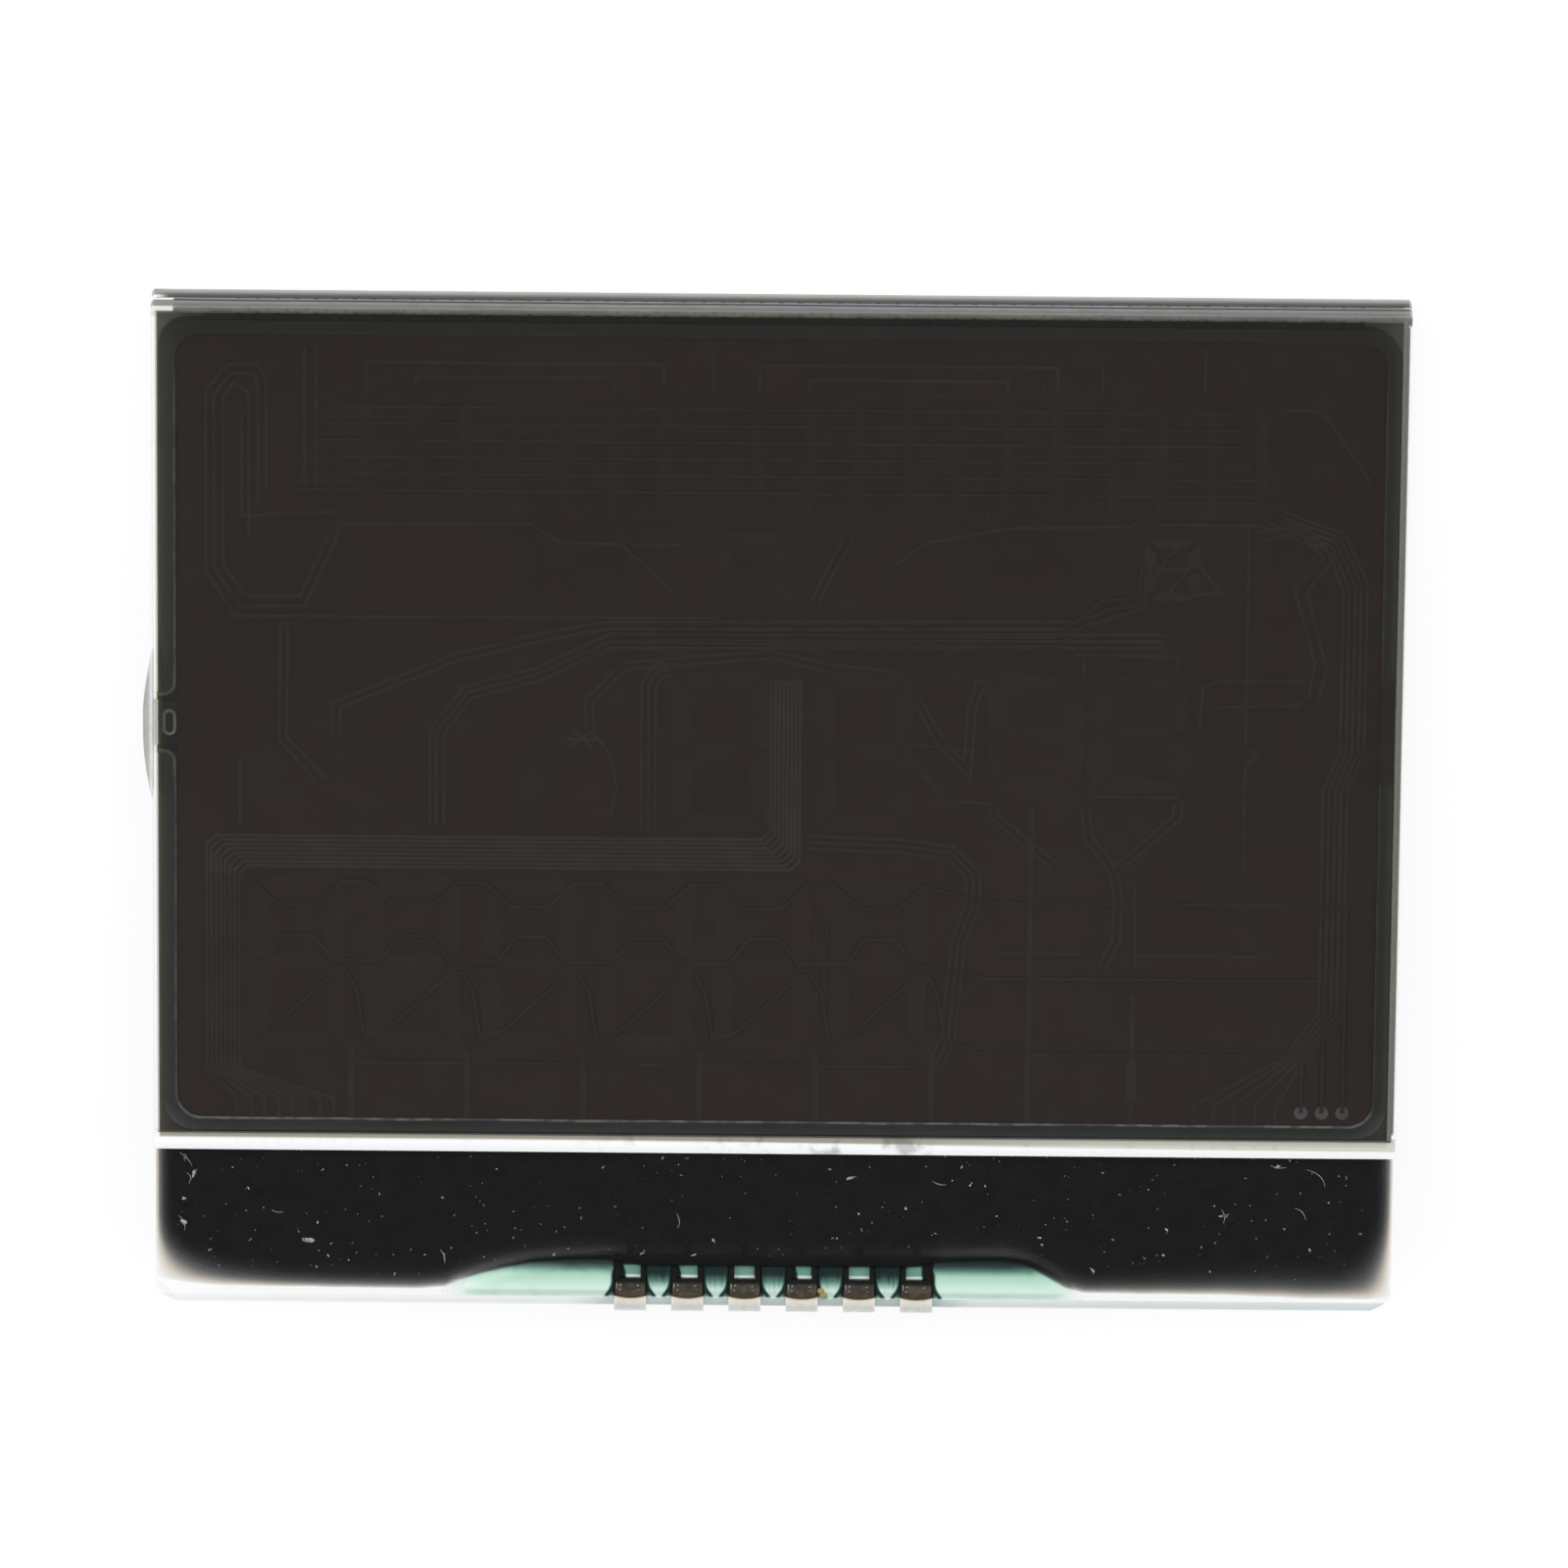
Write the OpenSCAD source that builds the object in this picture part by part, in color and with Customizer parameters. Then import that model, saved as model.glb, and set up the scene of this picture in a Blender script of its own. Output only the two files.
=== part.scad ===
// Segment liquid crystal display: two glass plates with the driver chip on a ledge
// and six clip-on leads. X runs along the width, Y up the display, Z towards the viewer.
// The origin is the middle of the rear, backlight face.

/* [Glass] */
// Width of both glass plates
glass_w = 54; // [50:0.5:60]
// Height of the rear plate, which carries the ledge
rear_glass_h = 46.5; // [46:0.5:50]
// Height of the ledge that the front plate leaves bare
ledge_h = 7.7; // [7.4:0.1:8.2]
// Thickness of each glass plate
glass_t = 1.1; // [0.7:0.1:1.2]
// How far the ledge's corners are ground back along the lower edge
corner_cut = 0.9; // [0.4:0.1:1.2]
// How far the ledge's corners are ground back up the sides
corner_rise = 0.7; // [0.4:0.1:1]
// Ground chamfer along the edge that the clips grip
edge_cut = 0.3; // [0.2:0.05:0.35]

/* [Cell] */
// Gap between the plates that the liquid crystal fills
cell_gap = 0.06; // [0.06:0.01:0.1]
// Thickness of the transparent conductor film on each plate
film_t = 0.02; // [0.01:0.005:0.025]
// Width of the line of sealant
seal_w = 0.6; // [0.5:0.05:0.9]
// Distance of the sealant from the side edges of the glass
seal_side = 0.4; // [0.3:0.05:0.6]
// Distance of the sealant from the top edge of the glass
seal_top = 1; // [0.8:0.1:1.2]
// Distance of the sealant from the lower edge of the front plate
seal_bottom = 0.5; // [0.3:0.05:0.6]
// Outer corner radius of the sealant
seal_r = 1.4; // [1.1:0.1:1.8]
// Opening of the fill port
port_w = 2.1; // [1.9:0.1:2.6]

/* [Polarisers] */
// Thickness of each polariser sheet
polariser_t = 0.2; // [0.15:0.01:0.25]
// Bare glass beside the front polariser
front_margin_side = 0.18; // [0.1:0.02:0.6]
// Bare glass above the front polariser
front_margin_top = 0.2; // [0.1:0.05:0.7]
// Bare glass below the front polariser
front_margin_bottom = 0.85; // [0.5:0.05:1]
// Bare glass beside the rear polariser
rear_margin_side = 0.22; // [0.2:0.02:0.6]
// How far to the left of the middle the rear polariser was laid
rear_film_left = 0.06; // [0:0.02:0.1]
// Bare glass above the rear polariser
rear_margin_top = 0.3; // [0.2:0.05:0.7]
// How far the rear polariser reaches past the lower edge of the front plate
rear_past_step = 0.35; // [0:0.05:0.5]

/* [Leads] */
// Distance between neighbouring leads
lead_pitch = 2.5; // [2.5:0.01:2.8]
// Width of the clip
clip_w = 1.4; // [1.3:0.05:1.6]
// Thickness of the strip that the clips are bent from
strip_t = 0.2; // [0.15:0.01:0.25]
// How far the solid part of the front arm reaches onto the ledge
front_arm = 1.45; // [1.2:0.05:1.6]
// How far the two front tines reach past the solid part
tine_reach = 0.8; // [0.6:0.05:1]
// Width of each front tine
tine_w = 0.25; // [0.2:0.05:0.3]
// How far the rear tines reach under the glass
rear_arm = 1.3; // [1.2:0.1:1.8]
// Inner radius of the clip's front bend
front_bend_r = 0.55; // [0.45:0.05:0.6]
// Inner radius of the clip's rear bend
rear_bend_r = 0.35; // [0.3:0.05:0.4]
// How far the front arm arches off the glass
arm_lift = 0.15; // [0.1:0.01:0.2]
// Width of the lead
lead_w = 0.5; // [0.4:0.05:0.6]
// How far the leads stand out behind the rear polariser
lead_reach = 3.4; // [2.5:0.1:4]

/* [Ledge] */
// Height of the black coating over the ledge
coating_t = 0.55; // [0.5:0.05:0.6]
// Bare glass left beside the coating
coating_side = 0.35; // [0.2:0.05:0.6]
// Distance of the thin lower edge of the coating from the glass edge
coating_bottom = 1; // [0.9:0.05:1.1]
// Width of the sloping border of the coating
coating_fade = 0.9; // [0.7:0.05:1]
// Height of the adhesive over the ledge
adhesive_t = 0.34; // [0.3:0.02:0.45]
// Reach of the adhesive past the outer leads
adhesive_past = 7; // [6:0.1:8]
// Width of the driver chip
chip_w = 12; // [9:0.5:14]
// Height of the driver chip
chip_h = 1.3; // [1:0.1:1.5]
// Thickness of the driver chip
chip_t = 0.3; // [0.25:0.05:0.35]

/* [Segments] */
// Width of a numeral
digit_w = 4.2; // [4:0.1:4.4]
// Height of a tall numeral
digit_h = 8; // [7:0.1:8.2]
// Distance between neighbouring numerals
digit_pitch = 5.05; // [4.9:0.05:5.1]
// Width of a numeral's bars
bar_w = 0.9; // [0.6:0.05:1]
// Width of a conductor track
track_w = 0.16; // [0.1:0.02:0.2]

/* [Hidden] */
$fn = 48;
lead_count = 6;
LEADS = [for (i = [1:lead_count]) str("clip_lead_", i)];

// Levels of the layers, from the rear face to the front face
rear_glass_z = polariser_t;
cell_z = rear_glass_z + glass_t;
crystal_z = cell_z + film_t;
common_z = cell_z + cell_gap - film_t;
front_glass_z = cell_z + cell_gap;
front_polariser_z = front_glass_z + glass_t;

// Edges of the plates
corner_nick = 0.1;
side_x = glass_w / 2;
top_y = rear_glass_h / 2;
bottom_y = -rear_glass_h / 2;
step_y = bottom_y + ledge_h;

// Inner edges of the sealant, and the middle of the fill port
seal_in_x = side_x - seal_side - seal_w;
seal_in_top = top_y - seal_top - seal_w;
seal_in_bottom = step_y + seal_bottom + seal_w;
port_y = (top_y + step_y) / 2;
island_w = 0.6;
island_h = 1.2;
island_line = 0.14;
resin_len = 6.5;
resin_proud = 0.45;
resin_h = 1.9;

// The display pattern is drawn on a grid with this many units across and up the front plate
grid_across = 54;
grid_up = 38.8;
grid_middle = 3.85;
wide = glass_w / grid_across;
tall = (top_y - step_y) / grid_up;
grid_step = grid_y(step_y);
grid_seal = grid_y(seal_in_bottom);

// Rows of the display pattern
digit_left = -22.9;
digit_top = -3.2;
small_digit_top = 6.4;
small_digit_h = 7.3;
right_digit_h = 5.5;
band_y = -1.35;
column_pitch = 2.13;
column_w = 0.5;
column_bottom = 14.2;
column_top = 18.6;
row_pitch = 0.76;
row_count = 6;
row_end = 21;
spine_x = -0.3;
spine_top = 6;
lane_count = 8;
lane_pitch = 0.2;
lane_cut = 0.4;
lane_left = -24.7;
lane_turn = -12.2;
tick_pitch = 0.83;
tick_count = 59;
tick_w = 0.22;

// Where the numerals' tracks leave the cell towards the chip
digit_exits = [for (i = [0:5]) digit_left + i * digit_pitch + digit_w + 0.25];
left_exits = [for (i = [0:lane_count - 1]) -23.4 + i * 0.6];
right_exits = [for (i = [0:4]) 18.2 + i * 0.9];
middle_exits = [11, 15.5];
jog_y = grid_seal + 0.9;
exits = [for (x = concat(left_exits, digit_exits, middle_exits, right_exits)) x * wide];

// Routes of the tracks that run alone, on the grid
single_tracks = [
    [[-22.1, 14.55], [-22.1, 19.65], [-22.5, 20.3], [-23.75, 20.25], [-24.7, 19], [-24.7, 10.8],
        [-23.45, 8.75], [-2.6, 8.85]],
    [[-22.45, 13.9], [-22.45, 19.4], [-22.65, 19.85], [-23.6, 19.85], [-24.35, 18.85],
        [-24.35, 10.95], [-23.15, 9.2], [-20.45, 9.25], [-19.1, 12.3], [-18.95, 13], [-10.7, 13.1],
        [-9.5, 12.25], [-6.85, 12.2], [-4.15, 9.65]],
    [[-22.85, 12.45], [-22.85, 19], [-23.5, 19.4], [-23.95, 18.75], [-23.95, 11.1], [-23, 9.7],
        [-20.65, 9.7], [-19.45, 12.45]],
    [[-23.15, 17.8], [-23.15, 13.35], [-14.2, 13.8], [-3, 13.6]],
    [[-20.45, 21], [-20.45, 14.75]],
    [[-19.95, 21], [-19.95, 14.75]],
    [[-21.15, 8.55], [-21.25, 3.25], [-19.45, 1.2]],
    [[-21.5, 8.55], [-21.55, 3.1], [-19.95, 1.1]],
    [[-23.25, 2.1], [-23.25, -0.9]],
    [[-8, 3.55], [-7.25, 2.55], [-6.95, 0.9], [-7.25, -0.3]],
    [[-9, 2.85], [-7.8, 3.8]],
    [[-8.85, 3.65], [-8, 2.8]],
    [[-9.15, 3.25], [-7.65, 3.2]],
    [[12.8, 7.3], [17.25, 7.25], [17.25, 5.85]],
    [[13.2, 7.2], [13.2, 6.05]],
    [[4.35, 10.8], [6.25, 12.35], [9.75, 13.05], [15.15, 13.2], [15.75, 13.65]],
    [[1.7, 9.6], [3.15, 12.6]],
    [[1.3, 9.55], [2.8, 12.65]],
    [[-6.3, 12.15], [-4.15, 12.2]],
    [[20.05, 15.15], [20.05, 18.55], [23.25, 18.55], [25.45, 15.2]],
    [[13.8, 20.8], [13.8, 18.85], [14.15, 18.45], [16.3, 18.45], [16.3, 15.1]],
    [[18.2, 21.35], [18.2, 15.1]],
    [[20.9, 12.65], [22.45, 12.95], [23.45, 11.8], [22.2, 10.4], [23.15, 6.95], [22.9, 5.5],
        [22.4, 5.05], [19, 4.95]],
    [[20.55, 13], [22.55, 13.35], [23.9, 11.8], [22.75, 10.3], [23.65, 6.75], [23.3, 5.2]],
    [[20.2, 13.3], [20.2, 3.2], [20.7, 2.75], [20.2, 2.15], [20.2, -2.55]],
    [[18.2, 4], [18.35, 5.9], [19, 6.15], [22.65, 6.15]],
    [[15.5, -3.25], [15.6, -7.1]],
    [[15.65, -6.6], [21.7, -6.6]],
    [[9.75, -6.55], [13.2, -6.55]],
    [[10.5, 0.85], [13.2, 0.85]],
    [[13.6, 0.8], [17.35, 0.75]],
    [[10.9, -13.6], [10.9, -11.25], [20.7, -11.25]],
    [[5.5, 3.15], [8.55, 2.8]],
    [[5.7, 2.5], [7.4, 0.45], [9.35, 0.45]],
    [[10.7, 5.4], [13, 3.55]],
    [[14.35, 5.85], [16.65, 3.6]],
    [[2, -0.65], [4.8, 2.35]],
    [[-4.15, 3], [-3.7, 3.6], [-3.3, 3], [-3.3, 0.95], [-2.6, -0.3], [-1.05, -0.35]],
    [[-3.7, 6.2], [-3.7, 5.05], [-4.1, 4.3], [-4.1, 3.2]],
    [[15.9, 10.15], [16.65, 11.75], [17.65, 12.7]],
    [[16.5, 9.75], [17.9, 11.75], [19, 10.2], [16.3, 9.9]],
    [[11.25, 17.5], [11.25, 19.55]],
    [[8.95, 14], [8.95, 13.3]],
    [[-2.9, 21.1], [-2.9, 18.55], [-2.6, 18.2], [-2.6, 14.9]]
];
// Routes that two tracks share
paired_tracks = [
    [[-19.1, 3.45], [-19.1, 4.7], [-14, 6.9], [-10.7, 7.8], [-7.55, 8.45], [12.8, 8.65],
        [15.6, 9.6], [15.8, 11.4]],
    [[-8.15, 3.8], [-8.15, 5], [-6.7, 6.6], [-0.3, 7.2], [2, 6.6], [5, 6.3], [6.1, 4.95],
        [7.05, 3.2], [8.2, 1.95], [8.35, 4.75], [8.7, 5.9], [9.75, 6], [11.65, 3.9], [12.95, 2.75]],
    [[9.35, 0.45], [9.35, -0.15], [12.1, -2.5]],
    [[13.3, 0.3], [13.5, -1.15], [14.55, -2.65]],
    [[17.35, 0.5], [17.3, -0.15], [14.8, -2.5]],
    [[14.6, -2.75], [14.8, -3.8], [14.75, -5.85], [14.2, -7.1]],
    [[15.5, -13.35], [15.5, -11.55]],
    [[1.55, -3.95], [1.95, -6.4], [2, -10.5]],
    [[2.5, -3.95], [2.3, -6.4], [2.15, -10.5]]
];
// Routes that three tracks share
triple_tracks = [
    [[-14.75, -0.8], [-14.75, 3.5], [-13.4, 5.35], [-10.5, 6.15], [-7.25, 7.75], [16.65, 7.95]],
    [[-5.6, -0.95], [-5.6, 5.75], [-5.15, 6.45], [-4.15, 6.45]],
    [[1.3, -1.45], [5.5, -1.6], [7.55, -1.9], [8.5, -2.9], [8.5, -4.3], [7.9, -6], [7.5, -10.45],
        [6.95, -11.85]],
    [[15.6, 13.75], [17.85, 14], [20.9, 13.9]]
];

// Ledge levels
chip_y = step_y - 3.2;
fan_pitch = 0.15;
fan_w = 0.08;
bond_t = 0.02;
pad_w = 1;
tip_flare = 0.14;
clip_gap = 0.05;
touch_gap = 0.01;
rear_lift = 0.05;
slit_w = 0.08;
tip_cut = 0.15;
dimple_r = 0.13;
dimple_rise = 0.05;
dimple_rows = [0.92, 1.16];
front_arm_z = cell_z + film_t + strip_t / 2;
rear_arm_z = rear_glass_z - strip_t / 2;
web_y = bottom_y - clip_gap - strip_t / 2;
contact_y = bottom_y + front_arm + tine_reach - 0.3;
front_bend = [web_y + strip_t / 2 + front_bend_r, front_arm_z + arm_lift - strip_t / 2 - front_bend_r];
rear_bend = [web_y + strip_t / 2 + rear_bend_r, rear_arm_z - rear_lift + strip_t / 2 + rear_bend_r];
dot_r = 0.3;
grid_dots = [for (x = [22.9, 23.8, 24.7]) [x, grid_y(seal_in_bottom + 0.6)]];
dots = [for (p = grid_dots) [p[0] * wide, seal_in_bottom + 0.6]];

// Middle height of the front arm, which arches from its contact up to the front bend
function arm_z(y) = front_arm_z + touch_gap + arm_lift * (contact_y - y) / (contact_y - front_bend[0]);
// Row of the grid that a height on the real plate answers to
function grid_y(y) = grid_middle + (y - port_y) / tall;
function lead_x(i) = (i - (lead_count + 1) / 2) * lead_pitch;
function digit_x(i) = digit_left + i * digit_pitch;
function reverse(list) = [for (i = [len(list) - 1:-1:0]) list[i]];
function heading(a, b) = (b - a) / norm(b - a);
function left_of(d) = [-d[1], d[0]];
function arc(centre, r, a1, a2, steps = 6) = [
    for (i = [0:steps])
        let (a = a1 + (a2 - a1) * i / steps) centre + r * [cos(a), sin(a)]
];
// The points of a path moved sideways, with mitred corners
function beside(path, shift) = [
    for (i = [0:len(path) - 1])
        let (
            k = max(i - 1, 0),
            m = min(i, len(path) - 2),
            n1 = left_of(heading(path[k], path[k + 1])),
            n2 = left_of(heading(path[m], path[m + 1]))
        )
        path[i] + shift * (n1 + n2) / (1 + n1 * n2)
];
// Outline of a strip of even width along a path
function strip(path, width, shift = 0) =
    concat(beside(path, shift + width / 2), reverse(beside(path, shift - width / 2)));

// One conductor track
module track(path, width = track_w, shift = 0) {
    polygon(strip(path, width, shift));
}

// Several tracks side by side
module bundle(path, count, pitch, width = track_w) {
    for (i = [0:count - 1]) track(path, width, (i - (count - 1) / 2) * pitch);
}

// Stretches what is drawn on the grid to the real plate
module on_plate() {
    translate([0, port_y])
        scale([wide, tall])
            translate([0, -grid_middle]) children();
}

// The last stretch of each track, under the sealant
module exit_lanes(top) {
    for (x = concat(left_exits, right_exits))
        translate([x - track_w / 2, grid_step]) square([track_w, top - grid_step]);
    for (x = concat(digit_exits, middle_exits))
        translate([x - track_w * 0.8, grid_step]) square([track_w * 1.6, top - grid_step]);
}

// A sheet of glass with its corners nicked, and those at y1 ground back by cut and rise
module plate_outline(y1, y2, cut = corner_nick, rise = corner_nick) {
    polygon([
        [-side_x + cut, y1], [side_x - cut, y1], [side_x, y1 + rise], [side_x, y2 - corner_nick],
        [side_x - corner_nick, y2], [-side_x + corner_nick, y2],
        [-side_x, y2 - corner_nick], [-side_x, y1 + rise]
    ]);
}

module rounded_box(x1, x2, y1, y2, r) {
    translate([x1 + r, y1]) square([x2 - x1 - 2 * r, y2 - y1]);
    translate([x1, y1 + r]) square([x2 - x1, y2 - y1 - 2 * r]);
    for (x = [x1 + r, x2 - r], y = [y1 + r, y2 - r]) translate([x, y]) circle(r);
}

// The seven bars of a numeral, each a separate piece of film
module numeral(x, top, height, w = digit_w) {
    s = bar_w * w / digit_w;
    g = 0.12;
    mid = top - height / 2;
    foot = top - height;
    translate([x, 0]) {
        for (y = [top, foot]) {
            inward = y == top ? -1 : 1;
            polygon([
                [g * 1.5, y], [w - g * 1.5, y],
                [w - s - g, y + inward * (s - g)], [s + g, y + inward * (s - g)]
            ]);
        }
        polygon([
            [s * 0.6 + g, mid], [s + g, mid + s / 2 - g], [w - s - g, mid + s / 2 - g],
            [w - s * 0.6 - g, mid], [w - s - g, mid - s / 2 + g], [s + g, mid - s / 2 + g]
        ]);
        for (side = [0, 1], half = [0, 1]) {
            edge = side * w;
            inner = side == 0 ? s : w - s;
            y_end = half == 0 ? top : foot;
            toward = half == 0 ? -1 : 1;
            polygon([
                [edge, y_end + toward * g * 1.5], [inner, y_end + toward * (s + g)],
                [inner, mid - toward * (s / 2)], [(edge + inner) / 2, mid - toward * g],
                [edge, mid - toward * g]
            ]);
        }
    }
}

// Seven columns of the scale, joined in pairs by nested loops
module scale_columns(x) {
    for (i = [0:6]) {
        rise = i == 3 ? 0.6 : 0;
        translate([x + i * column_pitch - column_w / 2, column_bottom - 0.6])
            square([column_w, column_top - column_bottom + 0.6 + rise]);
    }
    for (i = [0:2]) {
        loop_top = 20.4 - i * 0.65;
        x1 = x + i * column_pitch;
        x2 = x + (6 - i) * column_pitch;
        track([[x1, column_top], [x1, loop_top], [x2, loop_top], [x2, column_top]]);
    }
}

// Film on the rear plate inside the cell
module segment_pattern() {
    for (i = [0:5]) numeral(digit_x(i), digit_top, digit_h);
    for (x = [-4.6, 1.7]) numeral(x, small_digit_top, small_digit_h);
    for (x = [9, 13.6]) numeral(x, small_digit_top, right_digit_h);
    for (x = [-17.8, -0.9]) scale_columns(x);
    for (i = [0:3])
        translate([14.3 + i * column_pitch - column_w / 2, column_bottom - 0.6])
            square([column_w, column_top - column_bottom + 0.6]);
    numeral(-2.6, 12.8, 3.7, 3.1);
    numeral(15.7, 12.6, 2.8, 2.4);
    exit_lanes(jog_y);
    foot = digit_top - digit_h;
    for (x = digit_exits)
        track([[x - 0.6, foot + 0.6], [x, foot - 0.1], [x, jog_y - 0.1]], track_w * 1.6);
    for (i = [0:lane_count - 1]) {
        x = spine_x + i * lane_pitch * 0.9;
        y = band_y - i * lane_pitch;
        left = lane_left + i * lane_pitch;
        track([
            [x, spine_top], [x, y + lane_cut], [x - lane_cut, y], [left + lane_cut, y],
            [left, y - lane_cut], [left, lane_turn], [left_exits[i], jog_y],
            [left_exits[i], jog_y - 0.1]
        ]);
    }
    for (i = [0:len(right_exits) - 1]) {
        lane = i * 0.26;
        track([
            [16.2, 13.3 + lane], [20.6, 13.3 + lane], [23.6 + lane * 0.7, 12.2 + lane * 0.7],
            [24.3 + lane, 10.3 + lane * 0.4], [24.3 + lane, 2.9], [23.6 + lane, 1.2],
            [23.6 + lane, -9.2], [22 + lane, -11.4], [right_exits[i], jog_y],
            [right_exits[i], jog_y - 0.1]
        ]);
    }
    track([[middle_exits[0], 0.2], [middle_exits[0], jog_y - 0.1]], track_w * 1.6);
    track([[middle_exits[1], -8.4], [middle_exits[1], jog_y - 0.1]], track_w * 1.6);
    for (path = single_tracks) track(path);
    for (path = paired_tracks) bundle(path, 2, 0.34);
    for (path = triple_tracks) bundle(path, 3, 0.3);
}

// Ends of the tracks that were cut with the glass along the top edge
module edge_ticks() {
    for (i = [0:tick_count - 1])
        translate([((i - (tick_count - 1) / 2) * tick_pitch + 0.7) * wide, top_y - seal_top + 0.05])
            square([tick_w, seal_top - 0.05]);
}

module segment_electrodes() {
    color([0.32, 0.33, 0.33])
        translate([0, 0, cell_z])
            linear_extrude(film_t) {
                on_plate() segment_pattern();
                edge_ticks();
            }
}

// Film on the front plate: chains across the numerals and rows across the scale
module common_electrodes() {
    color([0.3, 0.31, 0.31])
        translate([0, 0, common_z])
            linear_extrude(film_t)
                on_plate() {
                    upper = [
                        for (i = [0:5], p = [[0.15, 0.25], [1.3, 1.35], [2.9, 1.35], [4.05, 0.25]])
                            [digit_x(i) + p[0], digit_top - p[1]]
                    ];
                    middle = [
                        for (i = [0:5], p = [[0.7, 3.9], [1.5, 2.75], [2.8, 2.75], [3.7, 3.9]])
                            [digit_x(i) + p[0], digit_top - p[1]]
                    ];
                    lower = [
                        for (i = [0:5], p = [[1, 7.1], [3.8, 4.4], [4.3, 4.5], [4.7, 5.3], [5, 7.4]])
                            [digit_x(i) + p[0], digit_top - p[1]]
                    ];
                    track(concat(upper, [[9, -4.2], [24.7, -4.2], grid_dots[2]]));
                    track(concat(middle, [[9, -7.7], [23.8, -7.7], grid_dots[1]]));
                    track(concat(lower, [[9, -11.2], [22.9, -11.2], grid_dots[0]]));
                    for (i = [0:row_count - 1])
                        translate([-row_end + 0.3 * i, column_bottom + 0.3 + i * row_pitch])
                            square([2 * row_end - 0.6 * i, track_w]);
                    bundle([[-7.4, 7.9], [12, 7.9], [14, 9.6], [16, 9.8]], 2, 0.4);
                    track([[-18.5, -11.85], [6, -11.85]]);
                }
}

module liquid_crystal() {
    color([0.2, 0.18, 0.16])
        translate([0, 0, crystal_z])
            linear_extrude(common_z - crystal_z)
                difference() {
                    rounded_box(-seal_in_x, seal_in_x, seal_in_bottom, seal_in_top, seal_r - seal_w / 2);
                    for (p = dots) translate(p) circle(dot_r);
                }
}

// The closed line of sealant, open only at the fill port
module seal_outline() {
    out_x = side_x - seal_side;
    hook = 0.35;
    difference() {
        rounded_box(-out_x, out_x, step_y + seal_bottom, top_y - seal_top, seal_r);
        rounded_box(-seal_in_x, seal_in_x, seal_in_bottom, seal_in_top, seal_r - seal_w / 2);
        translate([-side_x, port_y - port_w / 2]) square([seal_side + seal_w + 0.1, port_w]);
    }
    for (side = [-1, 1])
        translate([-side_x, port_y + side * (port_w / 2 + hook / 2) - hook / 2])
            square([seal_side + seal_w, hook]);
}

module perimeter_seal() {
    color([0.2, 0.22, 0.24])
        translate([0, 0, cell_z]) {
            translate([0, 0, film_t]) linear_extrude(cell_gap - film_t) seal_outline();
            linear_extrude(film_t)
                difference() {
                    seal_outline();
                    on_plate() exit_lanes(grid_seal + 0.1);
                }
        }
}

// A ring of sealant in the mouth of the port, which keeps the gap open there
module port_island() {
    x = -seal_in_x - seal_w / 2;
    r = island_w / 2;
    color([0.45, 0.46, 0.45])
        translate([x, port_y, cell_z])
            linear_extrude(cell_gap)
                difference() {
                    rounded_box(-r, r, -island_h / 2, island_h / 2, r - 0.001);
                    rounded_box(-r + island_line, r - island_line, -island_h / 2 + island_line,
                        island_h / 2 - island_line, r - island_line - 0.001);
                }
}

// Conductive dots that carry the front film's lines down to the rear film
module crossover_dots() {
    color([0.6, 0.6, 0.58])
        for (p = dots) translate([p[0], p[1], cell_z]) cylinder(r = dot_r, h = common_z - cell_z);
}

// The lower edge of the rear plate is chamfered on both faces for the clips
module rear_glass() {
    e = edge_cut;
    color([0.82, 0.9, 0.88, 0.4])
        translate([0, 0, rear_glass_z])
            intersection() {
                linear_extrude(glass_t) plate_outline(bottom_y, top_y, corner_cut, corner_rise);
                translate([-side_x, 0, 0])
                    rotate([90, 0, 90])
                        linear_extrude(glass_w)
                            polygon([
                                [bottom_y + e, 0], [top_y, 0], [top_y, glass_t],
                                [bottom_y + e, glass_t], [bottom_y, glass_t - e], [bottom_y, e]
                            ]);
            }
}

module front_glass() {
    color([0.82, 0.9, 0.88, 0.4])
        translate([0, 0, front_glass_z]) linear_extrude(glass_t) plate_outline(step_y, top_y);
}

module rear_polariser() {
    color([0.16, 0.15, 0.13])
        translate([-side_x + rear_margin_side - rear_film_left, step_y - rear_past_step, 0])
            cube([
                glass_w - 2 * rear_margin_side,
                top_y - step_y + rear_past_step - rear_margin_top, polariser_t
            ]);
}

module front_polariser() {
    color([0.18, 0.165, 0.15])
        translate([-side_x + front_margin_side, step_y + front_margin_bottom, front_polariser_z])
            cube([
                glass_w - 2 * front_margin_side,
                top_y - step_y - front_margin_bottom - front_margin_top, polariser_t
            ]);
}

// Resin that plugs the fill port, with a lens of it standing proud of the glass edge
module end_seal() {
    long_r = (pow(resin_len / 2, 2) + pow(resin_proud, 2)) / (2 * resin_proud);
    round_r = (pow(resin_h / 2, 2) + pow(resin_proud, 2)) / (2 * resin_proud);
    middle_z = cell_z + cell_gap / 2;
    plug = seal_side * 0.4;
    color([0.85, 0.88, 0.86, 0.6]) {
        intersection() {
            translate([-side_x - resin_proud + long_r, port_y, middle_z - resin_h])
                cylinder(r = long_r, h = 2 * resin_h, $fn = 400);
            translate([-side_x - resin_proud + round_r, port_y - resin_len, middle_z])
                rotate([-90, 0, 0]) cylinder(r = round_r, h = 2 * resin_len, $fn = 200);
            translate([-side_x - resin_proud, port_y - resin_len, middle_z - resin_h])
                cube([resin_proud, 2 * resin_len, 2 * resin_h]);
        }
        translate([-side_x, port_y - port_w / 2, cell_z]) cube([plug, port_w, cell_gap]);
    }
}

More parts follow.
